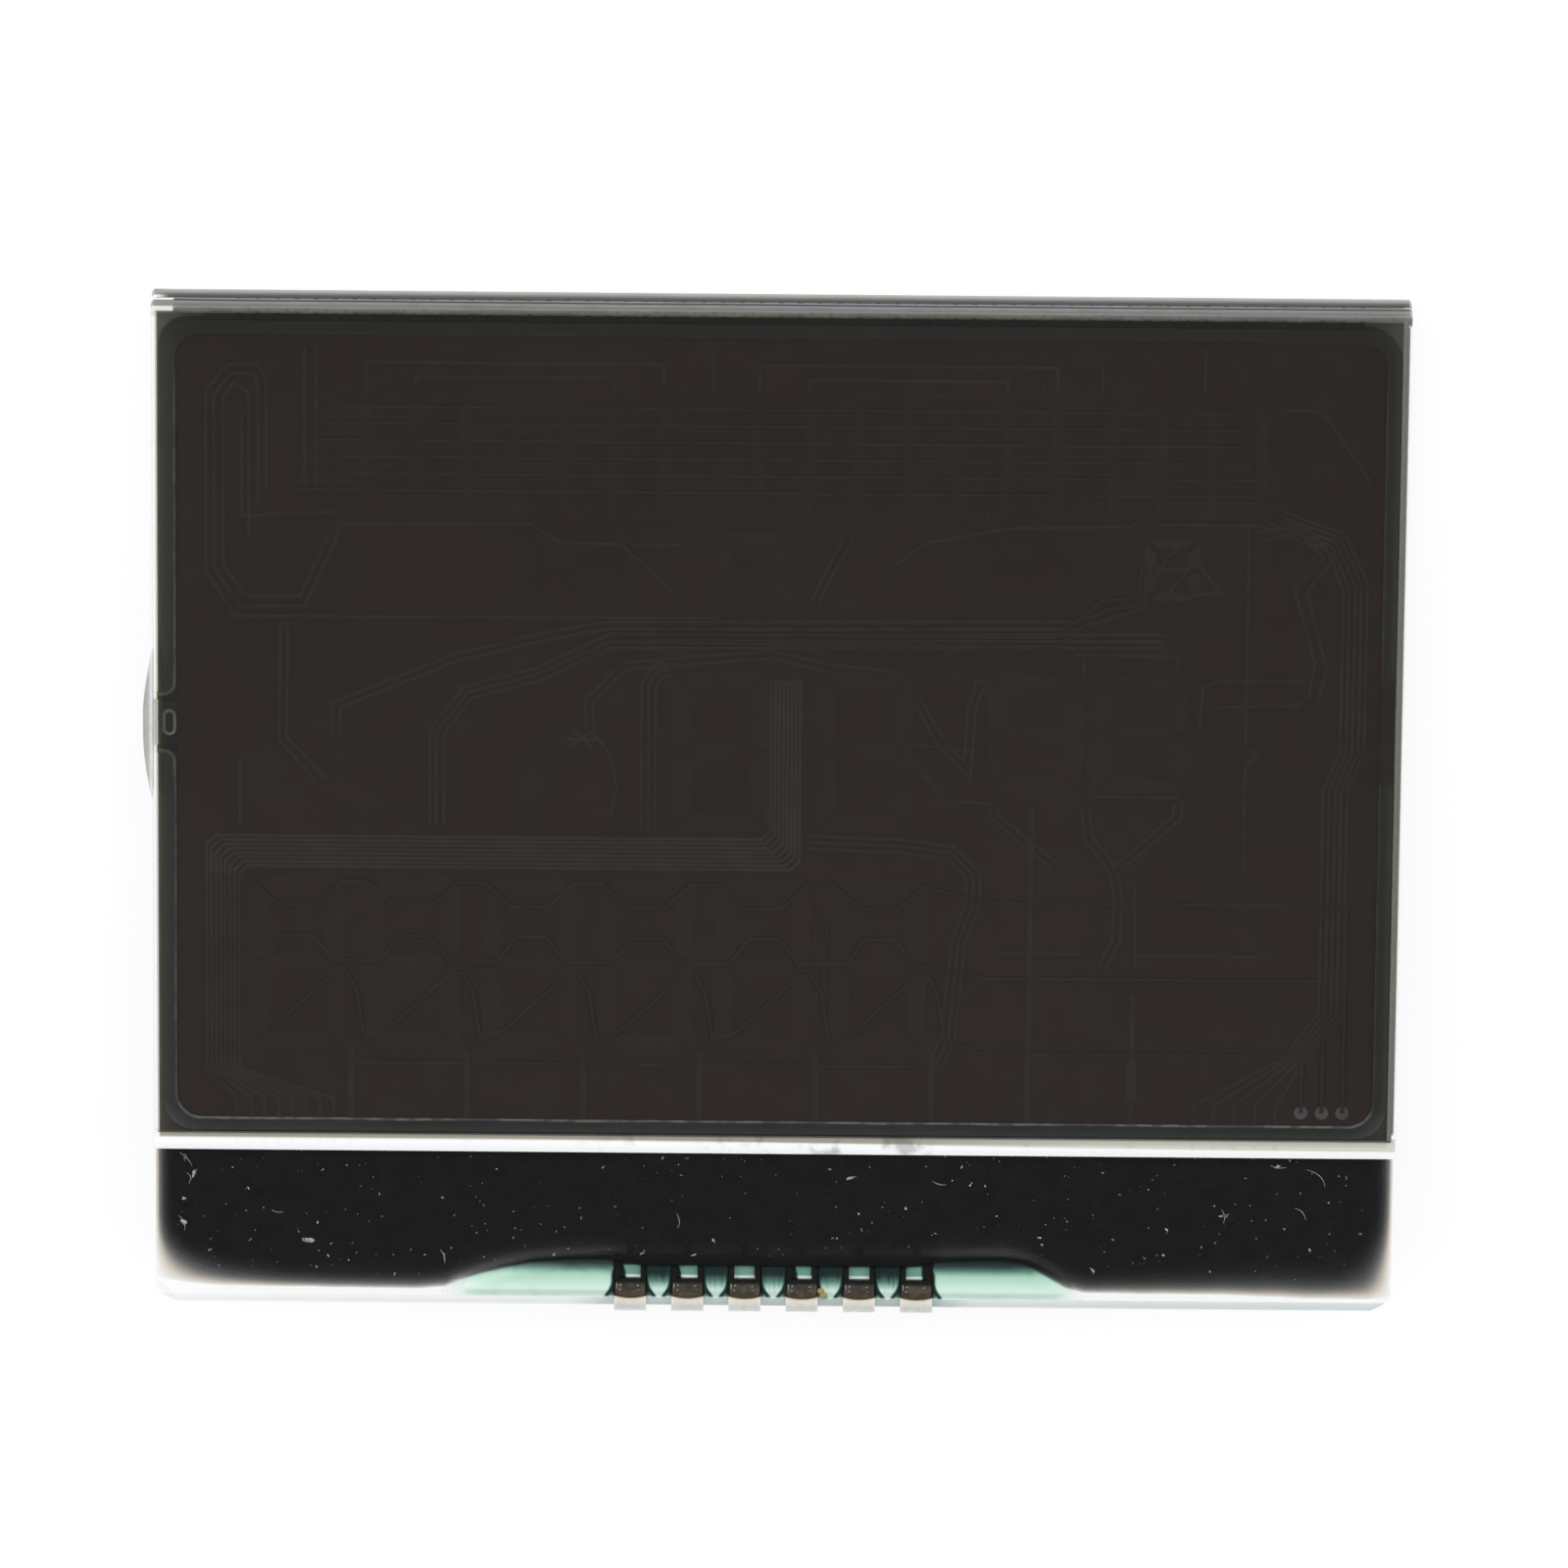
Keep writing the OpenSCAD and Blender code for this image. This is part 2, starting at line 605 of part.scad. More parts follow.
// Film on the ledge: a fan from the cell to the chip, and a pad under each clip
module ledge_tracks() {
    top_pads = chip_y + chip_h / 2;
    low_pads = chip_y - chip_h / 2;
    count = len(exits);
    color([0.5, 0.5, 0.48])
        translate([0, 0, cell_z])
            linear_extrude(film_t) {
                for (i = [0:count - 1]) {
                    pad = (i - (count - 1) / 2) * chip_w * 0.9 / count;
                    rank = exits[i] < pad ? i : count - 1 - i;
                    level = top_pads + 0.35 + rank * fan_pitch;
                    track([
                        [exits[i], step_y], [exits[i], level], [pad, level], [pad, top_pads - 0.2]
                    ], fan_w);
                }
                for (i = [1:lead_count]) {
                    pad = (i - (lead_count + 1) / 2) * chip_w * 0.8 / lead_count;
                    track([
                        [pad, low_pads + 0.2], [pad, low_pads - 0.2],
                        [lead_x(i), low_pads - 0.7], [lead_x(i), bottom_y + front_arm + tine_reach - 0.2]
                    ], track_w * 2);
                    translate([lead_x(i) - pad_w / 2, bottom_y + edge_cut])
                        square([pad_w, front_arm + tine_reach - edge_cut]);
                }
            }
}

// Film of conductive adhesive that holds the chip to its pads
module chip_bond_film() {
    color([0.7, 0.66, 0.5])
        translate([-chip_w / 2 - 0.2, chip_y - chip_h / 2 - 0.1, cell_z + film_t])
            cube([chip_w + 0.4, chip_h + 0.2, bond_t]);
}

module driver_chip() {
    color([0.3, 0.3, 0.32])
        translate([-chip_w / 2, chip_y - chip_h / 2, cell_z + film_t + bond_t])
            cube([chip_w, chip_h, chip_t]);
}

// The coating with its sloping borders, before the pieces under it are taken out
module coating_block() {
    end = side_x - coating_side;
    low = bottom_y + coating_bottom;
    intersection() {
        translate([-end, 0, cell_z])
            rotate([90, 0, 90])
                linear_extrude(2 * end)
                    polygon([
                        [step_y, 0], [step_y, coating_t + 0.25], [step_y - 0.3, coating_t],
                        [low + coating_fade, coating_t], [low, 0.02], [low, 0]
                    ]);
        translate([0, step_y, cell_z])
            rotate([90, 0, 0])
                linear_extrude(ledge_h)
                    polygon([
                        [-end, 0], [-end, 0.02], [-end + coating_fade, coating_t + 0.3],
                        [end - coating_fade, coating_t + 0.3], [end, 0.02], [end, 0]
                    ]);
    }
}

module ledge_coating() {
    color([0.12, 0.12, 0.13])
        difference() {
            coating_block();
            translate([-side_x, bottom_y, cell_z - 0.1])
                cube([glass_w, ledge_h, film_t + 0.1]);
            translate([-chip_w / 2 - 0.2, chip_y - chip_h / 2 - 0.1, cell_z])
                cube([chip_w + 0.4, chip_h + 0.2, film_t + bond_t]);
            translate([-chip_w / 2, chip_y - chip_h / 2, cell_z])
                cube([chip_w, chip_h, film_t + bond_t + chip_t]);
            translate([0, 0, cell_z - 0.1]) linear_extrude(2) adhesive_plan();
            for (i = [1:lead_count]) clip_head(lead_x(i));
        }
}

// Plan of the adhesive: an arch over the row of clips, longer on the left
module adhesive_plan() {
    left = lead_x(1) - adhesive_past - 1;
    right = lead_x(lead_count) + adhesive_past - 0.5;
    low = bottom_y + edge_cut;
    high = bottom_y + front_arm + tine_reach + 0.2;
    polygon([
        [left, low], [left + 0.1, low + 0.6], [left + 1.8, low + 1.1], [left + 3.4, high - 0.4],
        [left + 5.1, high], [right - 5.3, high], [right - 3.6, high - 0.5],
        [right - 1.9, low + 0.9], [right - 0.1, low + 0.5], [right, low]
    ]);
}

module clip_adhesive() {
    low = bottom_y + edge_cut;
    color([0.62, 0.85, 0.75, 0.7])
        difference() {
            intersection() {
                translate([0, 0, cell_z + film_t]) linear_extrude(1) adhesive_plan();
                translate([-side_x, 0, cell_z])
                    rotate([90, 0, 90])
                        linear_extrude(glass_w)
                            polygon([
                                [low, 0], [low, 0.06], [low + 0.4, adhesive_t / 2],
                                [low + 1.2, adhesive_t / 2 + 0.03], [low + 1.8, adhesive_t],
                                [low + 4, adhesive_t], [low + 4, 0]
                            ]);
            }
            for (i = [1:lead_count]) clip_head(lead_x(i));
        }
}

// A strip bent along a path of Y and Z points, as wide as w and centred on x
module bent_strip(path, x, w) {
    translate([x - w / 2, 0, 0])
        rotate([90, 0, 90])
            linear_extrude(w) polygon(strip(path, strip_t));
}

// The front arm with its two flared tines, and the web that goes round the glass edge
module clip_head(x) {
    arm_y = bottom_y + front_arm;
    bent_strip(concat(
        [[arm_y, arm_z(arm_y)]],
        arc(front_bend, front_bend_r + strip_t / 2, 84, 180, 8),
        [[web_y, rear_bend[1]]]
    ), x, clip_w);
    for (side = [-1, 1])
        bent_strip([
            [arm_y - 0.1, arm_z(arm_y - 0.1)], [contact_y, front_arm_z + touch_gap],
            [arm_y + tine_reach, front_arm_z + touch_gap + tip_flare]
        ], x + side * (clip_w - tine_w) / 2, tine_w);
    for (side = [-1, 1], y = dimple_rows)
        translate([
            x + side * (clip_w / 2 - 0.3), bottom_y + y,
            arm_z(bottom_y + y) + strip_t / 2 - dimple_r + dimple_rise
        ]) sphere(dimple_r);
}

// One clip: a head that grips the glass between front and rear tines, and its straight lead
module clip_lead(i) {
    x = lead_x(i);
    rear_tine_w = (clip_w - lead_w) / 2 - slit_w;
    rear_tip_y = bottom_y + rear_arm;
    shoulder_z = rear_bend[1] + 0.1;
    tip_z = -lead_reach;
    color([0.72, 0.68, 0.62]) {
        clip_head(x);
        for (side = [-1, 1])
            bent_strip(concat(
                [[web_y, shoulder_z]],
                arc(rear_bend, rear_bend_r + strip_t / 2, 180, 270),
                [[rear_tip_y - 0.3, rear_arm_z - touch_gap], [rear_tip_y, rear_arm_z - touch_gap - 0.12]]
            ), x + side * (clip_w - rear_tine_w) / 2, rear_tine_w);
        translate([x, web_y + strip_t / 2, 0])
            rotate([90, 0, 0])
                linear_extrude(strip_t)
                    polygon([
                        [-lead_w / 2, shoulder_z], [-lead_w / 2, tip_z + 0.4],
                        [-lead_w / 2 + tip_cut, tip_z], [lead_w / 2 - tip_cut, tip_z],
                        [lead_w / 2, tip_z + 0.4], [lead_w / 2, shoulder_z]
                    ]);
    }
}

for (i = [1:lead_count])
    clip_lead(i);
rear_polariser();
rear_glass();
segment_electrodes();
liquid_crystal();
perimeter_seal();
port_island();
crossover_dots();
common_electrodes();
front_glass();
front_polariser();
end_seal();
ledge_tracks();
chip_bond_film();
driver_chip();
ledge_coating();
clip_adhesive();
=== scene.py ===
"""Looks of a segment liquid crystal display: glass plates, films, coated ledge and clip leads."""
import math
import random

import bmesh
import bpy
from mathutils import Matrix, Vector, noise


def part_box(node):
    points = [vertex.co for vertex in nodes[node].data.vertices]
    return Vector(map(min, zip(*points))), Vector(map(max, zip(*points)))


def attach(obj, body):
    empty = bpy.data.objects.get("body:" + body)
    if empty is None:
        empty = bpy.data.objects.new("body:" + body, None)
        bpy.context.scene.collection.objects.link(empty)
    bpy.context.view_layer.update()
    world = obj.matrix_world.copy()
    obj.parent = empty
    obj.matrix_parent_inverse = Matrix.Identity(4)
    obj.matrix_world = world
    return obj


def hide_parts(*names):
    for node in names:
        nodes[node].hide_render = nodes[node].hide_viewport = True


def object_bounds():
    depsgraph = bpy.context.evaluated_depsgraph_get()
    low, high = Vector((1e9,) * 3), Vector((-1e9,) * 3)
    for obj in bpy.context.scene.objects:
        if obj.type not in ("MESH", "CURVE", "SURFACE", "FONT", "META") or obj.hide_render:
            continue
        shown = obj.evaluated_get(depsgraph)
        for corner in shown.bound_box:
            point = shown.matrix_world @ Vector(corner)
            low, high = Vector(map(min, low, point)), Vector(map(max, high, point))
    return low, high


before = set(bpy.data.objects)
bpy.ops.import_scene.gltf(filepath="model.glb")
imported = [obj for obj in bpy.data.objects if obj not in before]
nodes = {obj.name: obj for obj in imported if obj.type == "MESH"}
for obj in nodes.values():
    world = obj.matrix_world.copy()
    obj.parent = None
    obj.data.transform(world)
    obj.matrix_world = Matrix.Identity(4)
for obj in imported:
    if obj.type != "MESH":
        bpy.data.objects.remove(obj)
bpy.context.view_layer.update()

MM = 0.001
BODY = "root"

# Camera, in mm and degrees
DISTANCE, TILT, ROLL = 803.86, 20.613, 0.503
PICTURE_WIDTH = 67.961
SENSOR = 36.0
SHIFT_X, SHIFT_Y = 0.004185, 0.01015

# Places on the part, in mm
GLASS_SIDE = 27.0
STEP_Y = -15.55
LEDGE_END = -23.25
REAR_GLASS_LOW, LEDGE_Z, GLASS_TOP = 0.2, 1.3, 2.46
LEAD_PITCH, LEAD_COUNT = 2.5, 6
CLIP_HALF = 0.7
ADHESIVE_END = -22.78
REAR_FILM_RIGHT = 26.62
PORT_HALF = 1.22
# How much lower the camera sees the rear film than the front film
SEEN_LOWER = 0.93
# Corner radii of the sealant's outer border, left and right, and of its inner border
SEAL_CORNERS = 1.4, 1.9
CELL_CORNER = 1.1
# Height of the coating over the ledge where it covers fully, and the power by which it thins out
COATING_RISE, COATING_THINNING = 0.5, 0.6


def lead_x(i):
    """The middle of a lead, numbered from 0 at the left."""
    return (i - (LEAD_COUNT - 1) / 2) * LEAD_PITCH


def smooth(value, low, high):
    """0 at low, 1 at high, with a soft start and end."""
    t = min(1.0, max(0.0, (value - low) / (high - low)))
    return t * t * (3 - 2 * t)


def along(x, table):
    """The value for x from a table of (x, value) rows, straight between them."""
    if x <= table[0][0]:
        return table[0][1]
    for (x1, v1), (x2, v2) in zip(table, table[1:]):
        if x <= x2:
            return v1 + (v2 - v1) * (x - x1) / (x2 - x1)
    return table[-1][1]


def wander(x, y, scale, seed=0.0):
    """Smooth noise between about -1 and 1 at a place in mm."""
    return noise.noise(Vector((x / scale, y / scale, seed)))


def box_mm(node):
    return [[c / MM for c in corner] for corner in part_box(node)]


def plan_box(node):
    """Middle and half size of a node's box in plan, in mm."""
    pairs = list(zip(*box_mm(node)))[:2]
    return [(a + b) / 2 for a, b in pairs], [(b - a) / 2 for a, b in pairs]


# Camera
def add_camera():
    tilt, roll = math.radians(TILT), math.radians(ROLL)
    back = Vector((0, math.sin(tilt), math.cos(tilt)))
    flat_right = Vector((1, 0, 0))
    flat_up = Vector((0, math.cos(tilt), -math.sin(tilt)))
    right = flat_right * math.cos(roll) + flat_up * math.sin(roll)
    up = flat_up * math.cos(roll) - flat_right * math.sin(roll)
    camera = bpy.data.objects.new("camera", bpy.data.cameras.new("camera"))
    bpy.context.collection.objects.link(camera)
    turn = Matrix((right, up, back)).transposed().to_4x4()
    camera.matrix_world = Matrix.Translation(back * DISTANCE * MM) @ turn
    camera.data.sensor_width = SENSOR
    camera.data.lens = SENSOR * DISTANCE / PICTURE_WIDTH
    camera.data.shift_x, camera.data.shift_y = SHIFT_X, SHIFT_Y
    camera.data.clip_start, camera.data.clip_end = 0.01, 20
    bpy.context.scene.camera = camera


# Material building
class Shade:
    """A material made of nodes, with short names for the nodes it is built from."""

    def __init__(self, name):
        self.mat = bpy.data.materials.new(name)
        self.mat.use_nodes = True
        self.tree = self.mat.node_tree
        self.tree.nodes.clear()
        place = self.add("ShaderNodeTexCoord")
        self.place = place.outputs["Object"]
        split = self.add("ShaderNodeSeparateXYZ")
        self.wire(self.place, split.inputs[0])
        self.x, self.y, self.z = [self.maths("MULTIPLY", split.outputs[i], 1 / MM) for i in range(3)]

    def add(self, kind, **settings):
        node = self.tree.nodes.new(kind)
        for key, value in settings.items():
            setattr(node, key, value)
        return node

    def wire(self, source, socket):
        if isinstance(source, bpy.types.NodeSocket):
            self.tree.links.new(source, socket)
        elif isinstance(source, (tuple, list)) and len(socket.default_value) == 4:
            socket.default_value = (*source[:3], 1)
        else:
            socket.default_value = source

    def maths(self, operation, a, b=0.0, clamp=False):
        node = self.add("ShaderNodeMath", operation=operation, use_clamp=clamp)
        self.wire(a, node.inputs[0])
        self.wire(b, node.inputs[1])
        return node.outputs[0]

    def times(self, a, b, clamp=False):
        return self.maths("MULTIPLY", a, b, clamp)

    def step(self, value, low, high, first=0.0, last=1.0):
        """first below low, last above high, soft between them."""
        node = self.add("ShaderNodeMapRange", interpolation_type="SMOOTHSTEP")
        self.wire(value, node.inputs["Value"])
        for key, number in (("From Min", low), ("From Max", high), ("To Min", first), ("To Max", last)):
            self.wire(number, node.inputs[key])
        return node.outputs["Result"]

    def band(self, value, low, high, soft):
        """1 between low and high, 0 outside, with soft borders."""
        return self.maths("MULTIPLY", self.step(value, low - soft, low + soft),
                          self.step(value, high - soft, high + soft, 1.0, 0.0))

    def mix(self, factor, a, b):
        node = self.add("ShaderNodeMix", data_type="RGBA")
        self.wire(factor, node.inputs[0])
        self.wire(a, node.inputs[6])
        self.wire(b, node.inputs[7])
        return node.outputs[2]

    def noise(self, scale, detail=3.0):
        """Noise around 0.5; scale is in features per mm."""
        node = self.add("ShaderNodeTexNoise")
        self.wire(self.place, node.inputs["Vector"])
        node.inputs["Scale"].default_value = scale / MM
        node.inputs["Detail"].default_value = detail
        node.inputs["Roughness"].default_value = 0.55
        return node.outputs["Fac"]

    def vary(self, colour, share, scale):
        """The colour made lighter and darker by noise, by about the given share."""
        low = tuple(c * (1 - share) for c in colour)
        high = tuple(c * (1 + share) for c in colour)
        return self.mix(self.step(self.noise(scale), 0.3, 0.7), low, high)

    def steepness(self):
        """1 on upright walls and 0 on faces that lie flat, and how far the face looks towards +Y and +Z."""
        split = self.add("ShaderNodeSeparateXYZ")
        place = self.add("ShaderNodeNewGeometry").outputs
        self.wire(place["Normal"], split.inputs[0])
        flat = self.maths("ABSOLUTE", split.outputs[2])
        outward = self.maths("SUBTRACT", 1.0, self.maths("MULTIPLY", place["Backfacing"], 2.0))
        towards = [self.maths("MULTIPLY", split.outputs[i], outward) for i in (1, 2)]
        return self.step(flat, 0.2, 0.9, 1.0, 0.0), *towards

    def upper_edge(self, wall, towards_y):
        """1 on the upright edges that face +Y."""
        return self.times(wall, self.step(towards_y, 0.3, 0.8))

    def box_distance(self, centre, half, radius):
        """Distance outside a rounded box in plan, in mm; negative inside."""
        parts = []
        for value, middle, reach in ((self.x, centre[0], half[0]), (self.y, centre[1], half[1])):
            off = self.maths("ABSOLUTE", self.maths("SUBTRACT", value, middle))
            parts.append(self.maths("SUBTRACT", off, reach - radius))
        join = self.add("ShaderNodeCombineXYZ")
        for i, part in enumerate(parts):
            self.wire(self.maths("MAXIMUM", part, 0.0), join.inputs[i])
        length = self.add("ShaderNodeVectorMath", operation="LENGTH")
        self.wire(join.outputs[0], length.inputs[0])
        inside = self.maths("MINIMUM", self.maths("MAXIMUM", parts[0], parts[1]), 0.0)
        return self.maths("SUBTRACT", self.maths("ADD", length.outputs["Value"], inside), radius)

    def attribute(self, name):
        return self.add("ShaderNodeAttribute", attribute_name=name).outputs["Fac"]

    def finish(self, colour, rough=0.5, alpha=None, metal=0.0, bump=None, depth=0.0, **inputs):
        surface = self.add("ShaderNodeBsdfPrincipled")
        self.wire(colour, surface.inputs["Base Color"])
        self.wire(rough, surface.inputs["Roughness"])
        self.wire(metal, surface.inputs["Metallic"])
        if alpha is not None:
            self.wire(alpha, surface.inputs["Alpha"])
        for key, value in inputs.items():
            self.wire(value, surface.inputs[key.replace("_", " ")])
        if bump is not None:
            node = self.add("ShaderNodeBump")
            node.inputs["Distance"].default_value = depth * MM
            self.wire(bump, node.inputs["Height"])
            self.wire(node.outputs[0], surface.inputs["Normal"])
        out = self.add("ShaderNodeOutputMaterial")
        self.wire(surface.outputs[0], out.inputs[0])
        return self.mat


# Materials
def film_material():
    """The front polariser: a dark film that lets some light through, scuffed, with a brown left border."""
    m = Shade("front_film")
    film_left = box_mm("front_polariser")[0][0]
    scuff = m.step(m.noise(0.9, 5.0), 0.45, 0.75)
    colour = m.mix(scuff, (0.008, 0.0072, 0.0066), (0.012, 0.011, 0.0105))
    patchy = m.step(m.noise(0.3), 0.35, 0.6, 0.55, 1.0)
    left = m.times(m.step(m.x, film_left + 0.32, film_left + 0.05), patchy)
    colour = m.mix(left, colour, (0.125, 0.095, 0.035))
    alone = m.step(m.x, REAR_FILM_RIGHT - 0.04, REAR_FILM_RIGHT + 0.04)
    colour = m.mix(alone, colour, (0.055, 0.052, 0.03))
    wall, towards_y, _ = m.steepness()
    upper = m.upper_edge(wall, towards_y)
    colour = m.mix(upper, colour, m.vary((0.105, 0.105, 0.09), 0.25, 0.7))
    alpha = m.mix(upper, m.maths("ADD", 0.42, m.times(alone, 0.46)), (0.9, 0.9, 0.9))
    rough = m.step(m.noise(2.2), 0.3, 0.7, 0.1, 0.2)
    return m.finish(colour, rough, alpha=alpha, bump=m.noise(0.35), depth=0.01, Specular_IOR_Level=0.3)


def dark_field(m):
    """Colour of the crossed films behind the cell, darker at the top."""
    level = m.step(m.y, 22.0, -8.0)
    base = m.mix(level, (0.058, 0.047, 0.040), (0.068, 0.053, 0.047))
    right = m.step(m.x, 8.0, 26.0, 0.0, 0.35)
    base = m.mix(right, base, (0.058, 0.045, 0.042))
    base = m.mix(m.step(m.noise(0.3, 3.0), 0.4, 0.6, 0.0, 0.5), base, (0.066, 0.045, 0.049))
    cloud = m.step(m.noise(0.12, 4.0), 0.3, 0.7)
    return m.mix(cloud, base, m.mix(0.1, base, (0.10, 0.08, 0.07)))


def inside(m, x1, x2, y1, y2, soft=0.15):
    """1 within a box in plan, 0 outside."""
    return m.times(m.band(m.x, x1, x2, soft), m.band(m.y, y1, y2, soft))


def corner_patches(m):
    """1 in the rear film's two top corners, where they show outside the rounded border of the sealant."""
    centre, half = plan_box("front_polariser")
    centre[1] -= SEEN_LOWER
    right, top = centre[0] + half[0], centre[1] + half[1]
    corners = [m.step(m.box_distance(centre, half, radius), -0.1, 0.0) for radius in SEAL_CORNERS]
    side = m.step(m.x, -1.0, 1.0)
    outside = m.maths("ADD", m.times(corners[0], m.maths("SUBTRACT", 1.0, side)), m.times(corners[1], side))
    near_side = m.step(m.maths("ABSOLUTE", m.x), right - 2.2, right - 1.7)
    near = m.times(near_side, m.step(m.y, top - 2.4, top - 1.8))
    return m.times(outside, near, True)


def crystal_material():
    m = Shade("crystal_fill")
    return m.finish(dark_field(m), 0.4, Specular_IOR_Level=0.0)


def conductor_material(name, lift):
    """Thin conductor film, a shade lighter than the field: least on the numerals, most in the dense bundles."""
    m = Shade(name)
    field = dark_field(m)
    patch = m.step(m.noise(0.8, 4.0), 0.25, 0.75, lift * 0.6, lift * 1.3)
    faint = 0.0
    for box in ((-22.95, 6.7, -11.3, -3.15), (-4.65, -0.45, -1.0, 6.45), (1.65, 5.95, -1.0, 6.45),
                (8.95, 17.85, 0.85, 6.45), (-19.0, 21.6, 13.4, 19.3), (-2.65, 0.55, 9.0, 12.9)):
        faint = m.maths("ADD", faint, inside(m, *box, soft=0.02), True)
    dense = m.maths("ADD", inside(m, -24.9, 1.3, -3.1, -1.0), inside(m, -0.4, 1.2, -3.0, 6.2), True)
    share = m.times(patch, m.step(faint, 0.4, 0.6, 1.0, 0.3))
    share = m.maths("ADD", share, m.times(dense, lift * 0.9))
    return m.finish(m.mix(share, field, (0.30, 0.33, 0.34)), 0.4, Specular_IOR_Level=0.0)


def common_material():
    m = Shade("common_film")
    field = dark_field(m)
    patch = m.step(m.noise(0.8, 4.0), 0.25, 0.75, 0.015, 0.045)
    return m.finish(m.mix(patch, field, (0.28, 0.31, 0.32)), 0.4, Specular_IOR_Level=0.0)


def seal_material():
    """Dark sealant, lighter towards the film's borders, with a thin uneven light line along its inner edge."""
    m = Shade("sealant")
    centre, half = plan_box("liquid_crystal")
    distance = m.box_distance(centre, half, CELL_CORNER)
    wavy = m.maths("ADD", distance, m.times(m.maths("SUBTRACT", m.noise(0.45, 3.0), 0.5), 0.16))
    line = m.band(wavy, -0.02, 0.09, 0.05)
    broken = m.step(m.noise(1.3, 4.0), 0.4, 0.6, 0.35, 1.0)
    outer = m.maths("POWER", m.step(distance, 0.1, 0.85), 1.5)
    left = m.mix(outer, (0.078, 0.080, 0.072), (0.125, 0.118, 0.095))
    right = m.mix(outer, (0.064, 0.064, 0.060), (0.13, 0.125, 0.105))
    sides = m.mix(m.step(m.x, -10.0, 10.0), left, right)
    bottom = m.mix(outer, m.vary((0.070, 0.078, 0.080), 0.12, 0.4), (0.16, 0.155, 0.13))
    body = m.mix(m.step(m.y, -13.6, -14.2), sides, bottom)
    body = m.mix(m.step(m.y, 20.8, 21.6), body, m.mix(outer, (0.064, 0.062, 0.056), (0.085, 0.082, 0.070)))
    left_part = m.step(m.x, 10.0, -10.0, 0.35, 1.0)
    light = m.mix(m.step(m.y, 21.0, 18.0), (0.07, 0.07, 0.062), (0.17, 0.17, 0.145))
    light = m.mix(left_part, body, light)
    light = m.mix(m.step(m.y, -13.6, -14.3), light, (0.36, 0.36, 0.31))
    colour = m.mix(m.times(line, broken), body, light)
    port_y = plan_box("port_island")[0][1]
    cell_left, reach, length = centre[0] - half[0], 2.0, 6.0
    hook = m.maths("MINIMUM", *[
        m.box_distance((cell_left - reach, port_y + way * (PORT_HALF + length)), (reach, length), 0.6)
        for way in (1, -1)
    ])
    by_port = m.band(m.y, port_y - PORT_HALF - 1.2, port_y + PORT_HALF + 1.2, 0.4)
    arc = m.times(m.band(hook, -0.14, -0.02, 0.05), by_port)
    colour = m.mix(m.times(arc, 0.8), colour, (0.2, 0.2, 0.17))
    colour = m.mix(m.times(m.step(hook, -0.02, 0.03), by_port), colour, (0.06, 0.056, 0.05))
    film_left = box_mm("front_polariser")[0][0]
    alpha = m.step(m.x, film_left - 0.02, film_left + 0.02, 0.05, 1.0)
    return m.finish(colour, 0.5, alpha=alpha, Specular_IOR_Level=0.0)


def rear_film_material():
    """The rear polariser: black where the front film crosses it, pale beige where it lies alone."""
    m = Shade("rear_film")
    low, high = box_mm("front_polariser")
    crossed = m.band(m.x, low[0], high[0], 0.03)
    crossed = m.times(crossed, m.band(m.y, low[1] - 0.96, high[1] - 0.86, 0.03))
    dark = m.vary((0.068, 0.064, 0.055), 0.1, 0.4)
    dark = m.mix(corner_patches(m), dark, m.vary((0.165, 0.172, 0.135), 0.15, 0.8))
    pale = m.vary((0.62, 0.58, 0.47), 0.06, 0.5)
    return m.finish(m.mix(crossed, pale, dark), 0.35)


def rear_glass_material():
    """Clear plate glass: nearly unseen on its faces, grey on the cut edges."""
    m = Shade("rear_glass_clear")
    wall, towards_y, towards_z = m.steepness()
    upper = m.upper_edge(wall, towards_y)
    level = m.step(m.z, REAR_GLASS_LOW, LEDGE_Z)
    streak = m.step(m.noise(0.5, 4.0), 0.3, 0.7)
    fall = m.maths("POWER", m.maths("SUBTRACT", 1.0, level), 2.0, True)
    tones = m.mix(fall, (0.098, 0.092, 0.086), (0.52, 0.50, 0.48))
    tones = m.mix(m.times(streak, 0.15), tones, (0.17, 0.16, 0.15))
    tip = m.step(m.x, -26.2, -26.9)
    tones = m.mix(tip, tones, m.mix(m.step(level, 0.7, 0.85), (0.36, 0.33, 0.30), (0.97, 0.97, 0.97)))
    side = m.mix(m.band(m.y, -30.0, STEP_Y, 0.5), (0.88, 0.88, 0.86), (0.84, 0.92, 0.91))
    # The ground chamfer along the lower edge: the glass's teal tint, with painted shade whose opacity grows to
    # the right and by the clips.
    ground = m.times(m.step(m.y, -22.72, -22.8), m.step(towards_z, 0.2, 0.4))
    near = m.band(m.x, -8.0, 8.0, 1.2)
    depth = m.maths("ADD", m.step(m.x, -20.0, 26.0, 0.12, 0.45), m.times(near, 0.5), True)
    colour = m.mix(upper, m.mix(wall, (0.93, 0.98, 0.97), side), tones)
    colour = m.mix(ground, colour, (0.335, 0.47, 0.45))
    alpha = m.mix(wall, (0.04, 0.04, 0.04), (0.15, 0.15, 0.15))
    alpha = m.mix(ground, alpha, depth)
    alpha = m.mix(upper, alpha, (0.95, 0.95, 0.95))
    gloss = m.times(m.maths("SUBTRACT", 1.0, upper), 0.4)
    return m.finish(colour, 0.08, alpha=alpha, Specular_IOR_Level=gloss)


